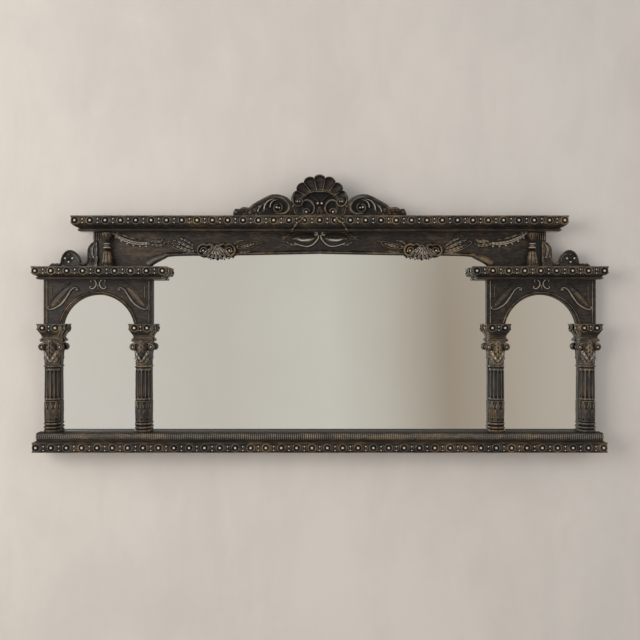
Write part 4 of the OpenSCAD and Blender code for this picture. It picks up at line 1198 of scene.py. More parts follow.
class MIRROR_OT_capitals(bpy.types.Operator):
    """Four capitals: a bell with leaves, corner volutes and an abacus"""

    bl_idname = "mirror.capitals"
    bl_label = "Capitals"

    def capital(self, x):
        """One capital on the axis at x."""
        z0, h = CAPITAL.z0, CAPITAL.z1 - CAPITAL.z0
        foot = (x, z0)
        shell = Shell()
        t = np.linspace(0, 1, 54)
        bell = np.stack([18.6 + 5 * t**2, z0 + 0.4 + (h - 10) * t], -1)

        def relief(a, z):
            """Two rings of leaves."""
            return np.maximum(
                leaves_round(a, z, LEAVES, z0 + 1, z0 + 27, 2.3, 0.5),
                leaves_round(a, z, LEAVES, z0 + 2, z0 + 46, 2.6),
            )

        shell.lathe(bell, x, COLUMN_AXIS_D, relief, 144)

        def on_bell(px, pz):
            """Depth of the bell's face at a place across."""
            r = 19.4 + 5 * np.clip((pz - z0) / (h - 9), 0, 1) ** 2
            return COLUMN_AXIS_D + np.sqrt(np.clip(r**2 - (px - x) ** 2, 60, None)) - 0.8

        line = spaced([(x, z0 + h - 8), (x, z0 + 17)], 40)
        t = along(line)
        half = 10.5 * lobed(t, 4, 0.25) * ends(t, 0.12, 0.2)
        rise = 4 + 5 * bump(t - 0.62, 0.35)
        shell.ribbon(line, half, rise, on_bell, leafy(4, 0.5, 0.25), 17, 0.2)
        front = COLUMN_AXIS_D + 15.5
        # Tones: the volute's cushion is painted dark as shade round its coil.
        cushion = [(0.5, 1.0, -1), (4, 1.2, -1), (7.6, 0.8, -0.7), (9.2, -0.6, -0.3),
                   (9.6, -3, -0.3), (8.4, -9, -0.6), (8.6, -16, -0.3), (6, -21, -0.6)]
        leaf = leafy(3, 0.5, 0.2)
        for side in (-1, 1):
            line = curve(sided(foot, [(17, 39), (12, 27), (3, 13), (1, 8)], side), 26)
            shell.band(line, 4.2, 5.5, (0.25, 0.5), on_bell, 11, 0.4, leaf)
            line = curve(sided(foot, [(18, 24), (14, 13), (6, 3)], side), 22)
            shell.band(line, 3.6, 4.2, (0.3, 0.5), on_bell, 11, 0.25, leaf)
            centre = (x + side * 24, z0 + 48)
            shell.turned(cushion, [centre], front, around=32)
            line = coil(*centre, 8.0, 2.2, 90 + side * 55, 90 - side * 480, 64)
            t = along(line)
            shell.ribbon(line, 1.9 - 0.9 * t, 3.0 - t, front + 0.4, None, 9, 0.1)
            shell.turned(pearl(3.0, 0), [centre], front + 0.8, around=16)
            line = curve(sided(foot, [(3.5, 61), (9, 60.5), (16, 58.5), (23, 57.5)], side), 20)
            shell.band(line, 2.4, 3, (0.3, 0.1), front - 1.5, 9, 0.3)
        abacus = sided(
            (0, z0 + h),
            [(5, -10), (2.5, -9.6), (1, -8.6), (1.2, -7.4), (2.2, -6.6), (0.6, -5.8), (0, -4.6),
             (0.5, -3.4), (3, -2.8), (3, 0), (20, 0)],
        )
        front = COLUMN_AXIS_D + ABACUS_HALF
        corners = (x - ABACUS_HALF, x + ABACUS_HALF)
        shell.moulding(*corners, BURIED_D, front, filled(abacus, 1.0), 2.0)
        flower = arc(0, 0, 1, 88, 10, 6) * [5.2, 3.4]
        shell.turned(flower, [(x, z0 + h - 8)], front - 2, 0.8, 20)
        return shell

    def execute(self, context):
        for place, x in four_places():
            node = f"{place}_capital"
            shell = self.capital(x)
            finish = ("rubbed carving", "carved_wood")
            add_piece(f"{node}_carving", shell, *finish, [node], scale=0.5)
        return {"FINISHED"}


class MIRROR_OT_imposts(bpy.types.Operator):
    """Four impost blocks: an egg band over a swept neck"""

    bl_idname = "mirror.imposts"
    bl_label = "Imposts"

    def execute(self, context):
        sizes = context.scene.mirror_sizes
        z0, z1 = IMPOST.z0, IMPOST.z1
        neck = sided(
            (0, z0),
            [(12, 0), (11.4, 0.8), (11.4, 2.2), (12.6, 2.8), (12.4, 4), (10.6, 4.8), (10.4, 6.4),
             (11.2, 7), (11, 8.2), (9.6, 9)],
        )
        t = np.linspace(0, 1, 13)[1:]
        sweep = np.stack([9.4 - 8.6 * t, z0 + 9.0 + 14.0 * t**0.95], -1)
        dip = sided((0, z0), [(0.4, 23.6), (0.3, 24.4), (1.4, 25.2)])
        top = sided(
            (0, z1), [(1.4, -3.8), (0.2, -3.2), (0, -2.4), (0, -1), (0.8, 0), (30, 0)]
        )
        section = filled(np.vstack([neck, sweep, dip, top]), 1.2)
        for place, _ in four_places():
            node = f"{place}_impost"
            span = Span(node)
            outer_end = (1,) if span.x < 0 else (-1,)
            eggs = (span.x - IMPOST_EGG_X, span.x + IMPOST_EGG_X, z1 - 11)
            shell = egg_moulding(span, *eggs, section, sizes, outer_end)
            add_piece(f"{node}_carving", shell, "carved ebony", "carved_wood", [node])
        return {"FINISHED"}


# Ornaments on the frieze ends


def plate(shell, top, foot, base, thick, relief, ground, rows=26, edge=3.0):
    """A carved plate whose upper outline is a function of x, on a straight foot. Rows rise
    evenly from foot to outline, and the face rounds off towards the outline."""
    x = top[:, 0]
    s = np.linspace(0, 1, rows)[:, None]
    z = foot + (top[:, 1] - foot) * s
    x = x + 0 * z
    away = np.minimum(top[:, 1] - z, np.minimum(x - x.min(), x.max() - x) + 0.3)
    near = np.clip(away / edge, 0, 1)
    face = thick * (0.25 + 0.75 * np.sqrt(near * (2 - near)))
    face = face + relief(x, z) * near
    shell.slab(np.stack([x, base + face, z], -1), base - 0.5, ground)


class MIRROR_OT_balusters(bpy.types.Operator):
    """Two turned and carved balusters at the ends of the frieze"""

    bl_idname = "mirror.balusters"
    bl_label = "Balusters"

    def execute(self, context):
        span = Span("left_baluster")
        z0, h = span.z0, span.z1 - span.z0
        # Third numbers are tones: painted shade at the necks, the bottom edge and under the top,
        # and a little painted light on the middle of the foot and the vase.
        foot = curve([(16.4, 2.4, -0.2), (13.4, h * 0.08, 0), (11.4, h * 0.18, 0.1),
                      (9.6, h * 0.30, 0.2), (7.8, h * 0.40, 0.15), (6.8, h * 0.45, 0),
                      (5.0, h * 0.49, -1)], 44)
        turn = np.linspace(-80, 80, 9)
        # Painted highlight along the crest of each ring.
        worn = highlight_and_shade(np.cos(np.radians(turn)), 0.3) * 0.3
        rings = [
            np.column_stack([arc(r, h * up, wide, -80, 80, 9), worn])
            for r, up, wide in ((6.8, 0.548, 2.8), (5.6, 0.603, 1.4), (6.2, 0.655, 2.4))
        ]
        vase = curve([(4.8, h * 0.70, -1), (5.6, h * 0.76, -0.2), (8.0, h * 0.82, 0.1),
                      (11.6, h * 0.90, 0), (12.2, h * 0.96, 0), (9, h - 0.5, -0.5)], 34)
        low = [(12, 0.3, -0.5), (15, 0.7, 0), (16.4, 1.6, 0)]
        profile = np.vstack([low, foot, *rings, [(4.6, h * 0.69, -1)], vase]) + [0, z0, 0]

        def relief(a, z):
            """Round lobes and a fringe of short leaves on the foot, and leaves on the vase."""
            lobes = 2.4 * np.abs(np.sin(3.5 * a)) ** 0.6 * step_up(z0 + h * 0.47 - z, 0, 8)
            count = BALUSTER_LEAVES
            fringe = leaves_round(a, z, count, z0 + 1, z0 + h * 0.2, 2.4)
            leaves = leaves_round(a, z, count, z0 + h * 0.70, z0 + h * 0.97, 1.8)
            return np.maximum(np.maximum(lobes, fringe), leaves)

        left = Shell().lathe(profile, span.x, FACE_D + 16, relief, 112)
        for reed in range(4):
            place = BOARD.x0 + 4 + 5.6 * reed
            line = spaced([(place, BOARD.z0 + 72), (place, TOP.z0 - 1)], 30)
            left.band(line, 1.9, 2.4, (0.12, 0.05))
        add_pair("baluster", left, "rubbed carving", "carved_wood", scale=0.5)
        return {"FINISHED"}


# The wing's upper outline, and the roll that follows it, from the frieze board's foot corner
WING_TOP = np.array([
    (0, 66), (-2, 71), (-8, 69), (-14, 63), (-21, 58), (-25, 50), (-27, 39), (-27, 29),
    (-28.5, 18), (-32, 11), (-37, 8.5), (-41.5, 11.5), (-43.5, 18), (-46.5, 27), (-52, 34),
    (-59.5, 40.5), (-66.5, 45), (-74, 46.5), (-81, 45), (-88, 41), (-94, 34.5), (-97.5, 25),
    (-100, 14), (-104, 7), (-110, 5), (-116, 9.5), (-122, 11), (-128, 6), (-132, 0.6)])
WING_ROLL = np.array([
    (-9, 66), (-17, 58), (-22, 50), (-23.6, 39), (-23.6, 28), (-25.6, 16), (-30, 8), (-37, 5),
    (-44, 8), (-47, 16), (-50, 25), (-55.5, 31.5), (-62, 37.5), (-68, 41.2), (-74, 42.7),
    (-80, 41.4), (-86, 37.8), (-90.5, 32), (-93.8, 24), (-96.4, 13), (-101, 4.6), (-108, 3)])


class MIRROR_OT_wings(bpy.types.Operator):
    """Carved wings outside the frieze ends: a scroll round a flower, and a rising leaf"""

    bl_idname = "mirror.wings"
    bl_label = "Wings"

    def execute(self, context):
        place = np.array([-(BOARD.x1 - 12), BOARD.z0])
        flower = place + [-76.5, 23.5]

        def field(px, pz):
            """The ground round the flower is dished, and the leaf's ground is hollow."""
            dish = bump(np.hypot((px - flower[0]) / 1.1, pz - flower[1]), 17)
            return -3.6 * dish - 2.2 * bump(px - place[0] + 9, 6)

        shell = Shell()
        plate(shell, curve(place + WING_TOP, 170), place[1] + 0.3, FACE_D, 7.5, field, 0.12)
        face = FACE_D + 5.0
        line = curve(place + WING_ROLL, 170)
        t = along(line)
        half = 2.9 * ends(t, 0.04, 0.08) * (1 - 0.25 * t)
        shell.ribbon(line, half, 6.6 - 1.2 * t, face, None, 11, -0.25)
        for points, half, shine in (
            ([(-33, 10), (-38, 8), (-44, 11), (-50, 17), (-53, 25), (-60, 33), (-67, 36)],
             1.5, 0.4),
            ([(-87, 8), (-92, 10), (-93, 16), (-91, 25)], 1.4, 0.1),
            ([(-46, 8), (-58, 4), (-72, 3.4), (-88, 4)], 2.0, 0.0),
        ):
            shell.band(curve(place + points, 60), half, 6.0, (0.2, 0.2), face - 1.5, 9, shine)
        # Painted highlights on the petals' tops, strongest on the left and right petals.
        for turn, shine in ((0, 1.0), (90, 0.1), (180, 1.0), (270, 0.7)):
            petal = pearl(4.3, -15, shine)
            shell.turned(petal, [flower + heading(turn) * 9.8], FACE_D + 5, 0.9, 20)
        shell.turned(pearl(3.2, -15, 0.1), [flower], FACE_D + 6, around=20)
        for turn in (45, 135, 225, 315):
            line = spaced([flower + heading(turn) * 4, flower + heading(turn) * 11], 12)
            shell.band(line, 1.6, 4.0, (0.4, 0.4), FACE_D + 3.6)
        blades = [
            ([(-20, 27), (-23, 37), (-22, 47), (-16, 57), (-6, 67)], 3.0, 7.5, 0.7),
            ([(-10, 25), (-14, 36), (-15, 47), (-10, 59), (-3, 69)], 3.0, 7.5, 0.7),
            ([(-3, 28), (-6, 40), (-7, 50), (-3, 60)], 2.4, 7.0, 0.4),
            ([(-1, 27), (-2, 16), (-9, 9), (-20, 5)], 2.8, 7.0, 0.5),
            ([(-23, 24), (-20, 15), (-14, 12.5), (-9, 18)], 2.4, 6.0, 0.3),
            ([(-98, 5), (-106, 6), (-115, 8.6)], 3.0, 5.5, 0.2),
            ([(-110, 3), (-119, 6), (-127, 6)], 3.0, 5.0, 0.2),
            ([(-120, 1.5), (-127, 2), (-132, 1.4)], 2.0, 4.0, 0.1),
        ]
        for points, half, rise, shine in blades:
            line = curve(place + points, 44)
            half = half * np.sin(np.pi * (0.12 + 0.88 * along(line)) ** 0.8) ** 0.7
            shell.ribbon(line, half, rise, face - 1.5, cupped, 15, shine)
        add_pair("wing", shell, "carved ebony", "carved_wood")
        return {"FINISHED"}


# Crest


class MIRROR_OT_shell(bpy.types.Operator):
    """Scallop shell at the middle of the crest, with the carved field under it"""

    bl_idname = "mirror.shell"
    bl_label = "Shell"

    def throat(self, radius, a):
        """Radius where the flutes start: low over the middle and wider at the sides."""
        return radius * (0.45 + 0.2 * np.cos(a) ** 2)

    def scallop(self, radius, count):
        """The shell: flutes that spread from its throat, each one hollow between two ridges
        and swelling to a round lobe at the rim."""
        place = np.linspace(-count / 2, count / 2, count * 26 + 1)[None, :]
        wide = place * 7 / count
        a = np.pi / 2 - np.radians(26 * wide - 0.21 * wide**3)
        t = np.linspace(0, 1, 44)[:, None]
        u = (place + count / 2) % 1 - 0.5
        rim = radius * (0.88 + 0.12 * np.sqrt(np.clip(np.cos(np.pi * u), 0, 1)))
        low = self.throat(radius, a)
        r = low + (rim - low) * t
        wall = np.abs(u) * 2
        sag = np.sin(np.pi * t**0.9 * 0.93 + 0.12) ** 0.7
        hollow = np.clip(1 - wall**2.4, 0, 1) ** 0.6 * sag
        ridge = bump(wall - 1, 0.16)
        roll = 2.4 * bump(t - 0.94, 0.06) + 2.4 * ridge * (1 - 0.5 * t)
        lift = 12 + 8.5 * t * (1 - 0.35 * t) - 7.0 * hollow + roll
        lift = np.where(t > 0.985, lift - 4, lift)
        # Tones: painted highlights on the ridges, strongest low down, a faint one along the rim,
        # and a little painted shade in the flutes.
        tone = 0.8 * ridge * (1 - t) + 0.1 * bump(t - 0.93, 0.05) - 0.08 * hollow
        tone = np.pad(tone, ((1, 1), (0, tone.shape[1])), mode="edge")
        front = np.stack([r * np.cos(a), CREST_D + lift, SHELL_Z + r * np.sin(a)], -1)
        return Shell().slab(front, CREST_D, tone)

    def field(self, radius):
        """The ground under the shell, with a niche below its throat and a roll round that."""
        s = np.linspace(0, 1, 30)[:, None]
        width = np.linspace(-0.84, 0.84, 90)[None, :] * radius
        rise = np.sqrt(np.clip((radius * 0.86) ** 2 - width**2, 0, None))
        z = TOP.z1 + (SHELL_Z + rise * 0.86 - TOP.z1) * s
        x = width + 0 * z
        inside = np.hypot(x, z - SHELL_Z) / self.throat(radius, np.arctan2(z - SHELL_Z, x))
        niche = 1 - step_up(inside, 0.80, 1.0)
        lift = 8.0 - 5.0 * niche * step_up(z, TOP.z1 + 2, TOP.z1 + 12)
        face = np.stack([x, CREST_D + lift, z], -1)
        flat = np.stack([x, CREST_D - 4 + 0 * x, z], -1)[:, ::-1]
        ground = Shell().grid(np.concatenate([face, flat], 1), GROUND_SHADE)
        turn = np.radians(np.linspace(158, 22, 80))
        reach = self.throat(radius, turn) - 3.4
        line = np.stack([reach * np.cos(turn), SHELL_Z + reach * np.sin(turn)], -1)
        ground.band(line, 1.9, 4.6, (0.04, 0.04), CREST_D + 8.6, 13, 0.2)
        return ground

    def volutes(self):
        """What stands left of the middle of the field: an ear beside the shell, a scroll in
        the niche, beads and three leaves."""
        side = Shell()
        ear = np.array([-58, SHELL_Z + 3])
        # The ear's cushion is painted dark as shade between the coils.
        cushion = [(0.5, 2.0, -1), (7, 1.8, -1), (10.5, 0.8, -0.7), (12, -2.0, -0.3),
                   (11.4, -12, -0.5), (8, -12.5, -0.5)]
        side.turned(cushion, [ear], CREST_D + 10, around=32)
        line = curve(ear + [(-8, 25), (-13.5, 11), (-11.5, -4), (-2, -11.5), (9, -8.5),
                            (12.4, 1), (7.5, 8.6), (-1, 8.6), (-6, 2.5), (-3.5, -3.5)], 100)
        t = along(line)
        side.band(line, 3.2 - 1.8 * t, 7.0 - 3.5 * t, (0.15, 0.03), CREST_D + 10.4, 11, 0.08)
        side.turned(pearl(2.9), [ear + [-1.2, 1.2]], CREST_D + 12.5, around=18)
        side.turned(pearl(2.4), [ear + [4.8, 1.0]], CREST_D + 12.5, around=18)
        centre = np.array([0, SHELL_Z])
        line = curve(centre + [(-47, 2), (-40, 7), (-30, 8), (-20, 1), (-14.5, -11),
                               (-16.5, -23), (-25, -31), (-36, -32), (-43.5, -25.5),
                               (-42, -17.5), (-34.5, -14.5), (-28, -18.5), (-29, -24)], 120)
        t = along(line)
        side.band(line, 3.7 - 1.9 * t, 7.5 - 3 * t, (0.12, 0.03), CREST_D + 4, 11)
        side.turned(pearl(3.8), [centre + [-35.5, -23]], CREST_D + 6.5, around=22)
        side.turned(pearl(3.6), [centre + [-5.4, -1]], CREST_D + 11, around=24)
        line = curve(centre + [(-26, 22), (-17, 16), (-8, 8), (-1.5, 4.5)], 24)
        side.band(line, 1.5, 2.6, (0.2, 0.1), CREST_D + 6, 9, -0.3)
        for points, half, rise, relief, shine in (
            ([(-47, -33), (-57, -27), (-64, -18), (-69, -8)], 9, 5, dished, 0.65),
            ([(-1, -8), (-3.6, -20), (-4.5, -34)], 3.4, 5, leafy(3), 0.15),
            ([(-10, -13), (-9, -22), (-13, -33)], 2.4, 4, leafy(3), 0.0),
        ):
            line = curve(centre + points, 30)
            half = half * lobed(along(line), 1, 0.1)
            side.ribbon(line, half, rise, CREST_D + 4, relief, 13, shine)
        return side

    def execute(self, context):
        sizes = context.scene.mirror_sizes
        scallop = self.scallop(sizes.shell_r, sizes.shell_flutes)
        finish = ("carved ebony", "carved_wood")
        add_piece("crest_shell_carving", scallop, *finish, ["crest_shell"], scale=1.2)
        shell = self.field(sizes.shell_r)
        side = self.volutes()
        shell.add(side).add(side.flipped())
        add_piece("crest_base_carving", shell, "rubbed carving", "carved_wood", ["crest_base"])
        return {"FINISHED"}


class MIRROR_OT_crest_scrolls(bpy.types.Operator):
    """Leafy scrolls that roll up against both sides of the shell"""

    bl_idname = "mirror.crest_scrolls"
    bl_label = "Crest scrolls"

    def execute(self, context):
        place = np.array([Span("left_crest_scroll").x0, TOP.z1])
        top = curve(place + [(0, 9), (7, 20), (17, 19), (28, 24), (44, 23), (55, 32), (70, 41),
                             (97, 55), (112, 58), (128, 56), (145, 48), (157, 30), (163, 6)], 170)
        eye = place + [119, 22.5]

        def field(px, pz):
            """The ground is dished round the eye."""
            return -3.0 * bump(np.hypot(px - eye[0], pz - eye[1]), 24)

        shell = Shell()
        plate(shell, top, TOP.z1 + 0.3, CREST_D, 9, field, GROUND_SHADE, rows=30, edge=4)
        face = CREST_D + 6.5
        shell.band(top[8:150] + [0, -3.2], 3.0, 5.5, (0.08, 0.05), face, 11, -0.1)
        roll = [(98, 47), (112, 51), (128, 49), (141, 41), (149, 29), (148, 17), (139, 8),
                (126, 6), (112, 8)]
        shell.band(curve(place + roll, 100), 4.4, 9, (0.3, 0.2), face, 15, 0.15)
        shell.band(coil(*eye, 13.5, 8.2, 70, -290, 70), 2.6, 8, (0.1, 0.05), face, 11, 0.12)
        shell.turned(pearl(3.6), [eye + [-2.4, 1.2]], face + 3, around=20)
        shell.turned(pearl(2.8), [eye + [4.6, 0.2]], face + 3, around=18)
        for across, up, r in ((8, 12, 6.4), (25, 15, 5), (51, 25, 5), (39, 17, 3.6)):
            shell.turned(pearl(r, -15, 0.15), [place + [across, up]], face - 2.5, around=20)
        for points, half in (
            ([(83, 15), (85, 28), (95, 41), (113, 47)], 3.4),
            ([(99, 22), (101, 33), (108, 41), (120, 44)], 2.8),
            ([(66, 10), (70, 21), (79, 32)], 3.0),
        ):
            line = curve(place + points, 40)
            shell.band(line, half * (1 - 0.6 * along(line)), 8, (0.2, 0.2), face, 11, 0.4)
        for points, half, rise in (
            ([(88, 36), (70, 24), (46, 10), (20, 5)], 6, 6.5),
            ([(60, 20), (44, 17), (26, 17), (7, 15)], 4.6, 6),
            ([(92, 22), (78, 12), (62, 5), (44, 3)], 4.6, 6),
            ([(78, 36), (62, 28), (48, 21), (36, 20)], 4.0, 5),
            ([(150, 8), (154, 18), (150, 32), (141, 42)], 4.0, 6),
        ):
            line = curve(place + points, 44)
            half = half * lobed(along(line), 5, 0.2)
            shell.ribbon(line, half, rise, face - 2, leafy(5), 15, 0.2)
        add_pair("crest_scroll", shell, "carved ebony", "carved_wood")
        return {"FINISHED"}


# Applied ornament

# Its finish and slot, and add_piece's settings for its small relief
ORNAMENT = ("rubbed carving", "rubbed_ornament")
FINE_MARKS = {"spread": 4, "scale": 0.6}


def leaf_set(shell, blades, base=FACE_D, shine=0.45):
    """Adds leaves from rows of points, half width, rise and number of lobes."""
    for points, half, rise, lobes in blades:
        line = curve(points, 12 + 8 * len(points))
        half = half * lobed(along(line), lobes, 0.24)
        shell.ribbon(line, half, rise, base, leafy(lobes), 13, shine)


class MIRROR_OT_festoons(bpy.types.Operator):
    """Husk festoons that sag from the balusters and end in a curled leaf"""

    bl_idname = "mirror.festoons"
    bl_label = "Festoons"

    def execute(self, context):
        line = curve([(-560, 588), (-549, 579), (-536, 571), (-509.5, 560), (-483, 555.5),
                      (-458, 556.5)], 121)
        shell = Shell()
        shell.band(line, 3.4, 3.4, (0.08, 0.1), across=13, shine=0.5)
        husks = 11
        for k in range(husks):
            at = 4 + k * 10
            part = line[at : at + 15]
            size = 0.75 + 0.35 * math.sin(math.pi * k / husks)
            half = 6.0 * size * np.sin(np.pi * np.clip(along(part) * 0.86 + 0.14, 0, 1)) ** 0.6
            shell.ribbon(part, half, 6.5 * size, FACE_D, leafy(1, 0.0, 0.3), 13, 0.5)
        drops = line[16:112:19] + [0.5, -7.5]
        shell.turned(pearl(3.2, 0, 0.6), drops, FACE_D - 0.3, around=16)
        leaf_set(shell, [
            ([(-462, 555), (-446, 551), (-428, 550.5), (-411, 557)], 4.6, 5.5, 5),
            ([(-447, 557), (-436, 559), (-425, 563), (-417, 569)], 3.4, 4.5, 3),
            ([(-552, 584), (-531, 579), (-510, 571.5), (-490, 567), (-468, 564)], 2.6, 5.5, 4),
            ([(-456, 559), (-444, 563), (-432, 562), (-424, 556)], 3.6, 5, 3),
            ([(-566, 592), (-562, 584), (-562, 575), (-566, 567)], 4.6, 5.5, 3),
            ([(-561, 588), (-553, 590), (-545, 587), (-540, 580)], 3.6, 5, 3),
        ])
        line = coil(-431, 560, 9.5, 2.5, 200, 560, 44)
        shell.ribbon(line, 2.0 - along(line), 4.2, FACE_D, None, 9)
        add_pair("festoon", shell, *ORNAMENT, **FINE_MARKS)
        return {"FINISHED"}


class MIRROR_OT_acanthus(bpy.types.Operator):
    """Leaf clusters that lap over the arch lip, with feathery stems to both sides"""

    bl_idname = "mirror.acanthus"
    bl_label = "Acanthus clusters"

    def scroll(self, shell, foot, lip, side):
        """A scroll that rolls up round an eye on one side of the cluster's foot."""
        eye = (foot[0] + side * 35, foot[1] + 1)
        # The cushion under the coil is painted dark as shade.
        cushion = [(0.5, 3.4, -1), (10, 3.0, -1), (15, 1.4, -0.6), (17, -1.5, -0.6)]
        shell.turned(cushion, [eye], lip - 1.5, around=32)
        start = 90 + side * 32
        line = np.vstack([
            curve(sided(foot, [(6, 9), (10, 16), (21, 19)], side), 14)[:-1],
            coil(*eye, 17.5, 4.2, start, start - side * 560, 96),
        ])
        t = along(line)
        shell.band(line, 3.8 - 1.8 * t, 8.5 - 2 * t, (0.08, 0.02), lip, 13, 0.05)
        shell.turned(pearl(3.4), [eye], lip + 3, around=22)
        for spot, low in ((-7.5, -0.5), (6.5, -1.0)):
            shell.turned(pearl(2.4), [(eye[0] + spot, foot[1] + low)], lip + 3.4, around=14)

    def execute(self, context):
        foot = (-277.0, 535.0)
        lip = FACE_D + 5
        shell = Shell()
        for side in (-1, 1):
            self.scroll(shell, foot, lip, side)
        stems = [
            ([(-333, 529), (-360, 533), (-388, 543), (-404, 553), (-407, 560), (-402, 562),
              (-399, 558)], 1.7, 0.25),
            ([(-231, 545), (-222, 549), (-213, 552), (-195.5, 556), (-176, 561), (-167, 560),
              (-169, 552), (-189, 543.5), (-213, 541), (-222, 543), (-230, 549)], 1.4, 0.15),
            ([(-166, 560), (-158, 563), (-152, 560), (-150, 555)], 1.2, 0.1),
        ]
        for points, half, shine in stems:
            line = curve(points, 30 * len(points))
            shell.band(line, half, 3.8, (0.05, 0.05), shine=shine)
        leaf_set(shell, [
            ([(-338, 541), (-356, 549), (-378, 560), (-398, 566)], 4.6, 4.2, 5),
            ([(-336, 535), (-356, 538), (-378, 546), (-399, 553)], 5.0, 4.2, 6),
            ([(-338, 549), (-350, 558), (-364, 566), (-380, 571)], 3.8, 4.0, 4),
            ([(-343, 530), (-358, 528), (-372, 529)], 3.2, 3.8, 3),
            ([(-212, 546), (-198, 549), (-184, 553), (-172, 556)], 5.0, 2.6, 5),
            ([(-214, 531), (-202, 530.5), (-191, 534), (-183, 537)], 3.4, 4.0, 3),
            ([(-232, 552), (-224, 559), (-212, 563), (-200, 564)], 2.6, 3.4, 3),
        ])
        shell.turned(pearl(2.2, 0), [(-376.7, 553.5), (-369, 567), (-221, 546.5)], FACE_D + 2.5)
        root = sided(foot, (0, 15))
        fan = ((-56, 46, 5, 7), (-39, 42, 6, 7), (-20, 38, 6.4, 10), (0, 38.5, 6.8, 10),
               (20, 38, 6.4, 10), (39, 42, 6, 7), (56, 46, 5, 7))
        for turn, reach, half, rise in fan:
            way = heading(270 + turn)
            points = [root + way * 5, root + way * reach * 0.55, root + way * reach]
            leaf_set(shell, [(points, half, rise, 3)], lip - 0.5, 0.5)
        for points in (
            [(-302.6, 548), (-297, 552), (-290, 549), (-288.7, 540.4), (-296.4, 531), (-306, 522)],
            [(-268.6, 546), (-273, 550), (-279, 546), (-278.7, 537.3), (-267, 529.6), (-256, 523)],
        ):
            shell.band(curve(points, 60), 3.0, 10, (0.15, 0.3), lip, 11, 0.24)
        tips = [(-296.4, 516.5), (-282.5, 518.8), (-270, 517.3), (-259.4, 515.7), (-247, 517.3),
                (-236, 520.3)]
        shell.turned(pearl(2.3, -15, 0.35), tips, lip + 6, around=14)
        add_pair("acanthus", shell, *ORNAMENT, **FINE_MARKS)
        return {"FINISHED"}


class MIRROR_OT_center_scrolls(bpy.types.Operator):
    """Two open C-scrolls at the middle of the frieze, and the ribbons that tie them up"""

    bl_idname = "mirror.center_scrolls"
    bl_label = "Centre scrolls and ribbons"

    def scroll(self):
        """The left scroll: its coiled stem, a hollow leaf and a small leaf at its end."""
        shell = Shell()
        line = np.vstack([
            coil(-11.5, 581.5, 2.2, 6.6, -150, 130, 26)[:-1],
            curve([(-5.5, 584), (-3.6, 574), (-6.3, 566), (-18.5, 553), (-34.4, 547.8),
                   (-53.5, 551.3), (-69.3, 557.5)], 70)[6:],
        ])
        t = along(line)
        shell.band(line, 2.9 - 0.7 * t, 5.2, (0.03, 0.06), across=13, shine=0.4)
        # The hollow leaf's three bands: the upper one painted dark as shade, the lower ones
        # painted light, as a dish lit from above.
        for points, half, rise, shine in (
            ([(-13, 575), (-28, 578), (-48, 579), (-66, 574), (-78, 566)], 6, 2.6, -0.6),
            ([(-16, 569), (-30, 565), (-46, 564.5), (-62, 568), (-74, 568)], 6.5, 3.4, 0.5),
            ([(-24, 566), (-36, 564.5), (-48, 564), (-60, 567)], 4.2, 4.6, 0.85),
        ):
            shell.band(curve(points, 70), half, rise, (0.4, 0.45), across=21, shine=shine)
        leaf_set(shell, [([(-60, 553), (-72, 552), (-84, 557), (-92, 563)], 3.4, 4.2, 3)])
        return shell

    def ribbons(self):
        """The left ribbon: a twisted run down to the scroll, with split ends."""
        shell = Shell()

        def drape(px, pz):
            """The ribbon lies on the cornice's face and bridges the step to the frieze."""
            d = TOP.d1 - EGG_PROUD
            heights = [-9, -4, 0, 3.5, 9, TOP.z1 - 18 - TOP.z0]
            depths = [FACE_D, FACE_D + 8, FACE_D + 28, d - 11, d - 11, d + 1.2]
            return np.interp(pz - TOP.z0, heights, depths)

        line = curve([(-44, 621), (-49, 613), (-58, 606), (-66, 598), (-73, 588), (-83, 577.6),
                      (-97, 571)], 90)
        twist = 0.8 + 0.2 * np.cos(2 * np.pi * 5 * along(line))
        shell.band(line, 3.2 * twist, 3.6, (0.05, 0.1), drape, 13, 0.2)
        for points, half in (
            ([(-92, 573), (-99, 567), (-107, 566)], 3.6),
            ([(-94, 575), (-102, 574), (-110, 576)], 3),
            ([(-44, 620), (-42, 612), (-46, 604)], 3.2),
            ([(-47, 621), (-54, 620), (-60, 615)], 3),
        ):
            blade = curve(points, 26)
            shell.ribbon(blade, half * lobed(along(blade), 2), 3.6, drape, leafy(2), 11)
        return shell

    def execute(self, context):
        for name, shell, node in (
            ("center_scrolls_carving", self.scroll(), "frieze_center_scrolls"),
            ("ribbon_carving", self.ribbons(), "ribbon_ties"),
        ):
            add_piece(name, shell.add(shell.flipped()), *ORNAMENT, [node], **FINE_MARKS)
        return {"FINISHED"}


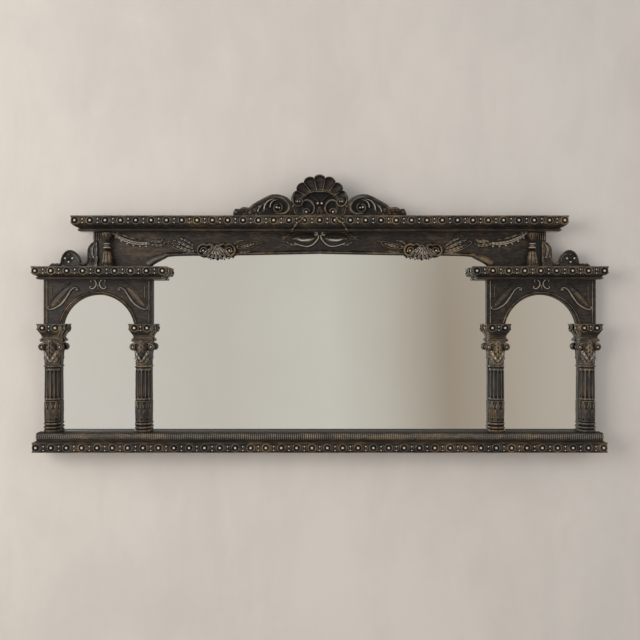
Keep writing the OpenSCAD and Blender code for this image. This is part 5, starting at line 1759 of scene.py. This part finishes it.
class MIRROR_OT_beads(bpy.types.Operator):
    """The lip under the frieze, and the beads round the side arches"""

    bl_idname = "mirror.beads"
    bl_label = "Lips and beads"

    def lip(self):
        """The right half of the lip: a bar that widens to the arch's foot, and a bead."""
        crown = BOARD.z0 + 38
        end = PANEL.x1 - 12
        edge = curve(
            [(0, crown), (end + 250, crown - 4), (end + 100, crown - 5.5),
             (end + 54, crown - 8), (end + 42, crown - 13), (end + 16, BOARD.z0 + 11.5),
             (end + 3, BOARD.z0 + 1)], 300)
        slope = np.gradient(edge, axis=0)
        square = np.stack([slope[:, 1], -slope[:, 0]], -1)
        square /= np.linalg.norm(square, axis=1)[:, None]
        wide = 3.1 + 5.2 * step_up(-edge[:, 0], -end - 66, -end - 14)
        line = edge + square * (wide + 0.4)[:, None]
        half = wide * ends(along(edge), 0.001, 0.012)
        shell = Shell().ribbon(line, half, 4.6 + 0.3 * (wide - 3), FACE_D, barred)
        line = (edge + square * (2 * wide + 2.2)[:, None])[:265]
        return shell.band(line, 0.9, 1.6, (0.001, 0.03), across=7)

    def arch_beads(self):
        """Three beads round the left arch, and one upright on each side of it."""
        shell = Shell()
        radius = 98.8
        foot = math.degrees(math.asin(20 / (radius + 5))) + 0.4
        for offset, half, rise in ((5.6, 1.9, 3.4), (1.4, 1.1, 1.5), (9.6, 0.8, 1.2)):
            line = arc(BAY_X, ARCH_Z, radius + offset, foot, 180 - foot, 150)
            shell.band(line, half, rise, (0.004, 0.004), shine=0.12)
        for place in (PANEL.x0 + 9.5, PANEL.x1 - 9.5):
            line = spaced([(place, PANEL.z0 + 0.6), (place, SIDE.z0 - 0.6)], 60)
            shell.band(line, 1.9, 3.0, (0.01, 0.01), shine=0.12)
        return shell

    def execute(self, context):
        lip = self.lip()
        lip.add(lip.flipped())
        add_piece("lip_carving", lip, *ORNAMENT, ["frieze_arch_lip"], spread=4)
        add_pair("arch_beads", self.arch_beads(), *ORNAMENT, **FINE_MARKS)
        return {"FINISHED"}


class MIRROR_OT_spandrels(bpy.types.Operator):
    """Leaves with an S-scroll on the arch shoulders, and the scrolls over each arch"""

    bl_idname = "mirror.spandrels"
    bl_label = "Spandrel and key ornaments"

    def shoulders(self):
        """An S-scroll, a long leaf and two beads on both shoulders of the left arch."""
        scroll = [(130, 387), (134.5, 383.5), (130, 379), (120, 380), (108, 386), (97, 394.5),
                  (87.5, 406.6), (79, 419.8), (71.8, 430.5), (64, 436.5), (56, 436),
                  (53, 431.5), (56, 428.5)]
        bead = [(72, 451), (88.5, 439), (107.8, 422), (122.2, 407.7), (132, 393.4)]
        leaf = [(80, 436), (96, 419), (112, 402), (123, 389)]
        place = (BAY_X, 0)
        shell = Shell()
        for side in (-1, 1):
            line = curve(sided(place, scroll, side), 130)
            half = 1.5 + 1.7 * np.sin(np.pi * along(line))
            shell.band(line, half, 4.6, (0.03, 0.03), across=11, shine=0.3)
            knob = [(BAY_X + side * 57.5, 431.8)]
            shell.turned(pearl(2.2, 0), knob, FACE_D + 1, around=14)
            line = curve(sided(place, bead, side), 80)
            shell.band(line, 1.1, 2.2, (0.1, 0.05), shine=0.0)
            line = curve(sided(place, leaf, side), 60)
            shell.band(line, 7.4, 1.3, (0.3, 0.3), across=17, shine=0.3)
            line = spaced(sided(place, [(125.5, 410), (125.5, 441)], side), 20)
            shell.band(line, 1.2, 2.0, (0.1, 0.1), shine=0.2)
        return shell

    def keys(self):
        """Two scrolls back to back over the left arch, with a leaf between them."""
        scroll = [(17, 6.5), (19.5, 10), (15, 14), (8.5, 11.5), (4.6, 5), (5.2, -2), (10, -8.5),
                  (16.5, -10.5), (21.5, -8), (20.5, -4.5), (18, -5.5)]
        place = (BAY_X, SIDE.z0 - 13)
        shell = Shell()
        for side in (-1, 1):
            line = curve(sided(place, scroll, side), 90)
            half = 1.5 + 1.1 * np.sin(np.pi * along(line))
            shell.band(line, half, 4.6, (0.04, 0.04), across=11, shine=0.4)
        leaf_set(shell, [(sided(place, [(0, 1), (0, -5), (0, -14)]), 3.0, 4.6, 2)])
        return shell

    def execute(self, context):
        add_pair("spandrel_scrolls", self.shoulders(), *ORNAMENT, **FINE_MARKS)
        keys = self.keys()
        keys.add(keys.flipped())
        add_piece("key_carving", keys, *ORNAMENT, ["key_ornaments"], **FINE_MARKS)
        return {"FINISHED"}


# Run


OPERATORS = [
    MIRROR_OT_stage,
    MIRROR_OT_finishes,
    MIRROR_OT_top_cornice,
    MIRROR_OT_side_cornices,
    MIRROR_OT_base,
    MIRROR_OT_columns,
    MIRROR_OT_capitals,
    MIRROR_OT_imposts,
    MIRROR_OT_balusters,
    MIRROR_OT_wings,
    MIRROR_OT_shell,
    MIRROR_OT_crest_scrolls,
    MIRROR_OT_festoons,
    MIRROR_OT_acanthus,
    MIRROR_OT_center_scrolls,
    MIRROR_OT_beads,
    MIRROR_OT_spandrels,
]


class MIRROR_PT_panel(bpy.types.Panel):
    """Lists the steps, the sizes and the colours in the sidebar of the 3D view"""

    bl_idname = "MIRROR_PT_panel"
    bl_label = "Carved wall mirror"
    bl_space_type = "VIEW_3D"
    bl_region_type = "UI"
    bl_category = "Mirror"

    def draw(self, context):
        column = self.layout.column()
        for operator in OPERATORS:
            column.operator(operator.bl_idname)
        for owner in (context.scene.mirror_sizes, context.scene.mirror_finishes):
            for key in owner.bl_rna.properties.keys():
                if key not in ("rna_type", "name"):
                    column.prop(owner, key)


def register():
    """Registers the properties, the operators and the panel."""
    for kind in (MirrorSizes, MirrorFinishes, *OPERATORS, MIRROR_PT_panel):
        bpy.utils.register_class(kind)
    bpy.types.Scene.mirror_sizes = bpy.props.PointerProperty(type=MirrorSizes)
    bpy.types.Scene.mirror_finishes = bpy.props.PointerProperty(type=MirrorFinishes)


def unregister():
    """Takes back what register does."""
    del bpy.types.Scene.mirror_finishes
    del bpy.types.Scene.mirror_sizes
    for kind in (MIRROR_PT_panel, *reversed(OPERATORS), MirrorFinishes, MirrorSizes):
        bpy.utils.unregister_class(kind)


def main():
    """Builds the mirror and its stage."""
    register()
    for operator in OPERATORS:
        group, action = operator.bl_idname.split(".")
        getattr(getattr(bpy.ops, group), action)()


if __name__ == "__main__":
    main()
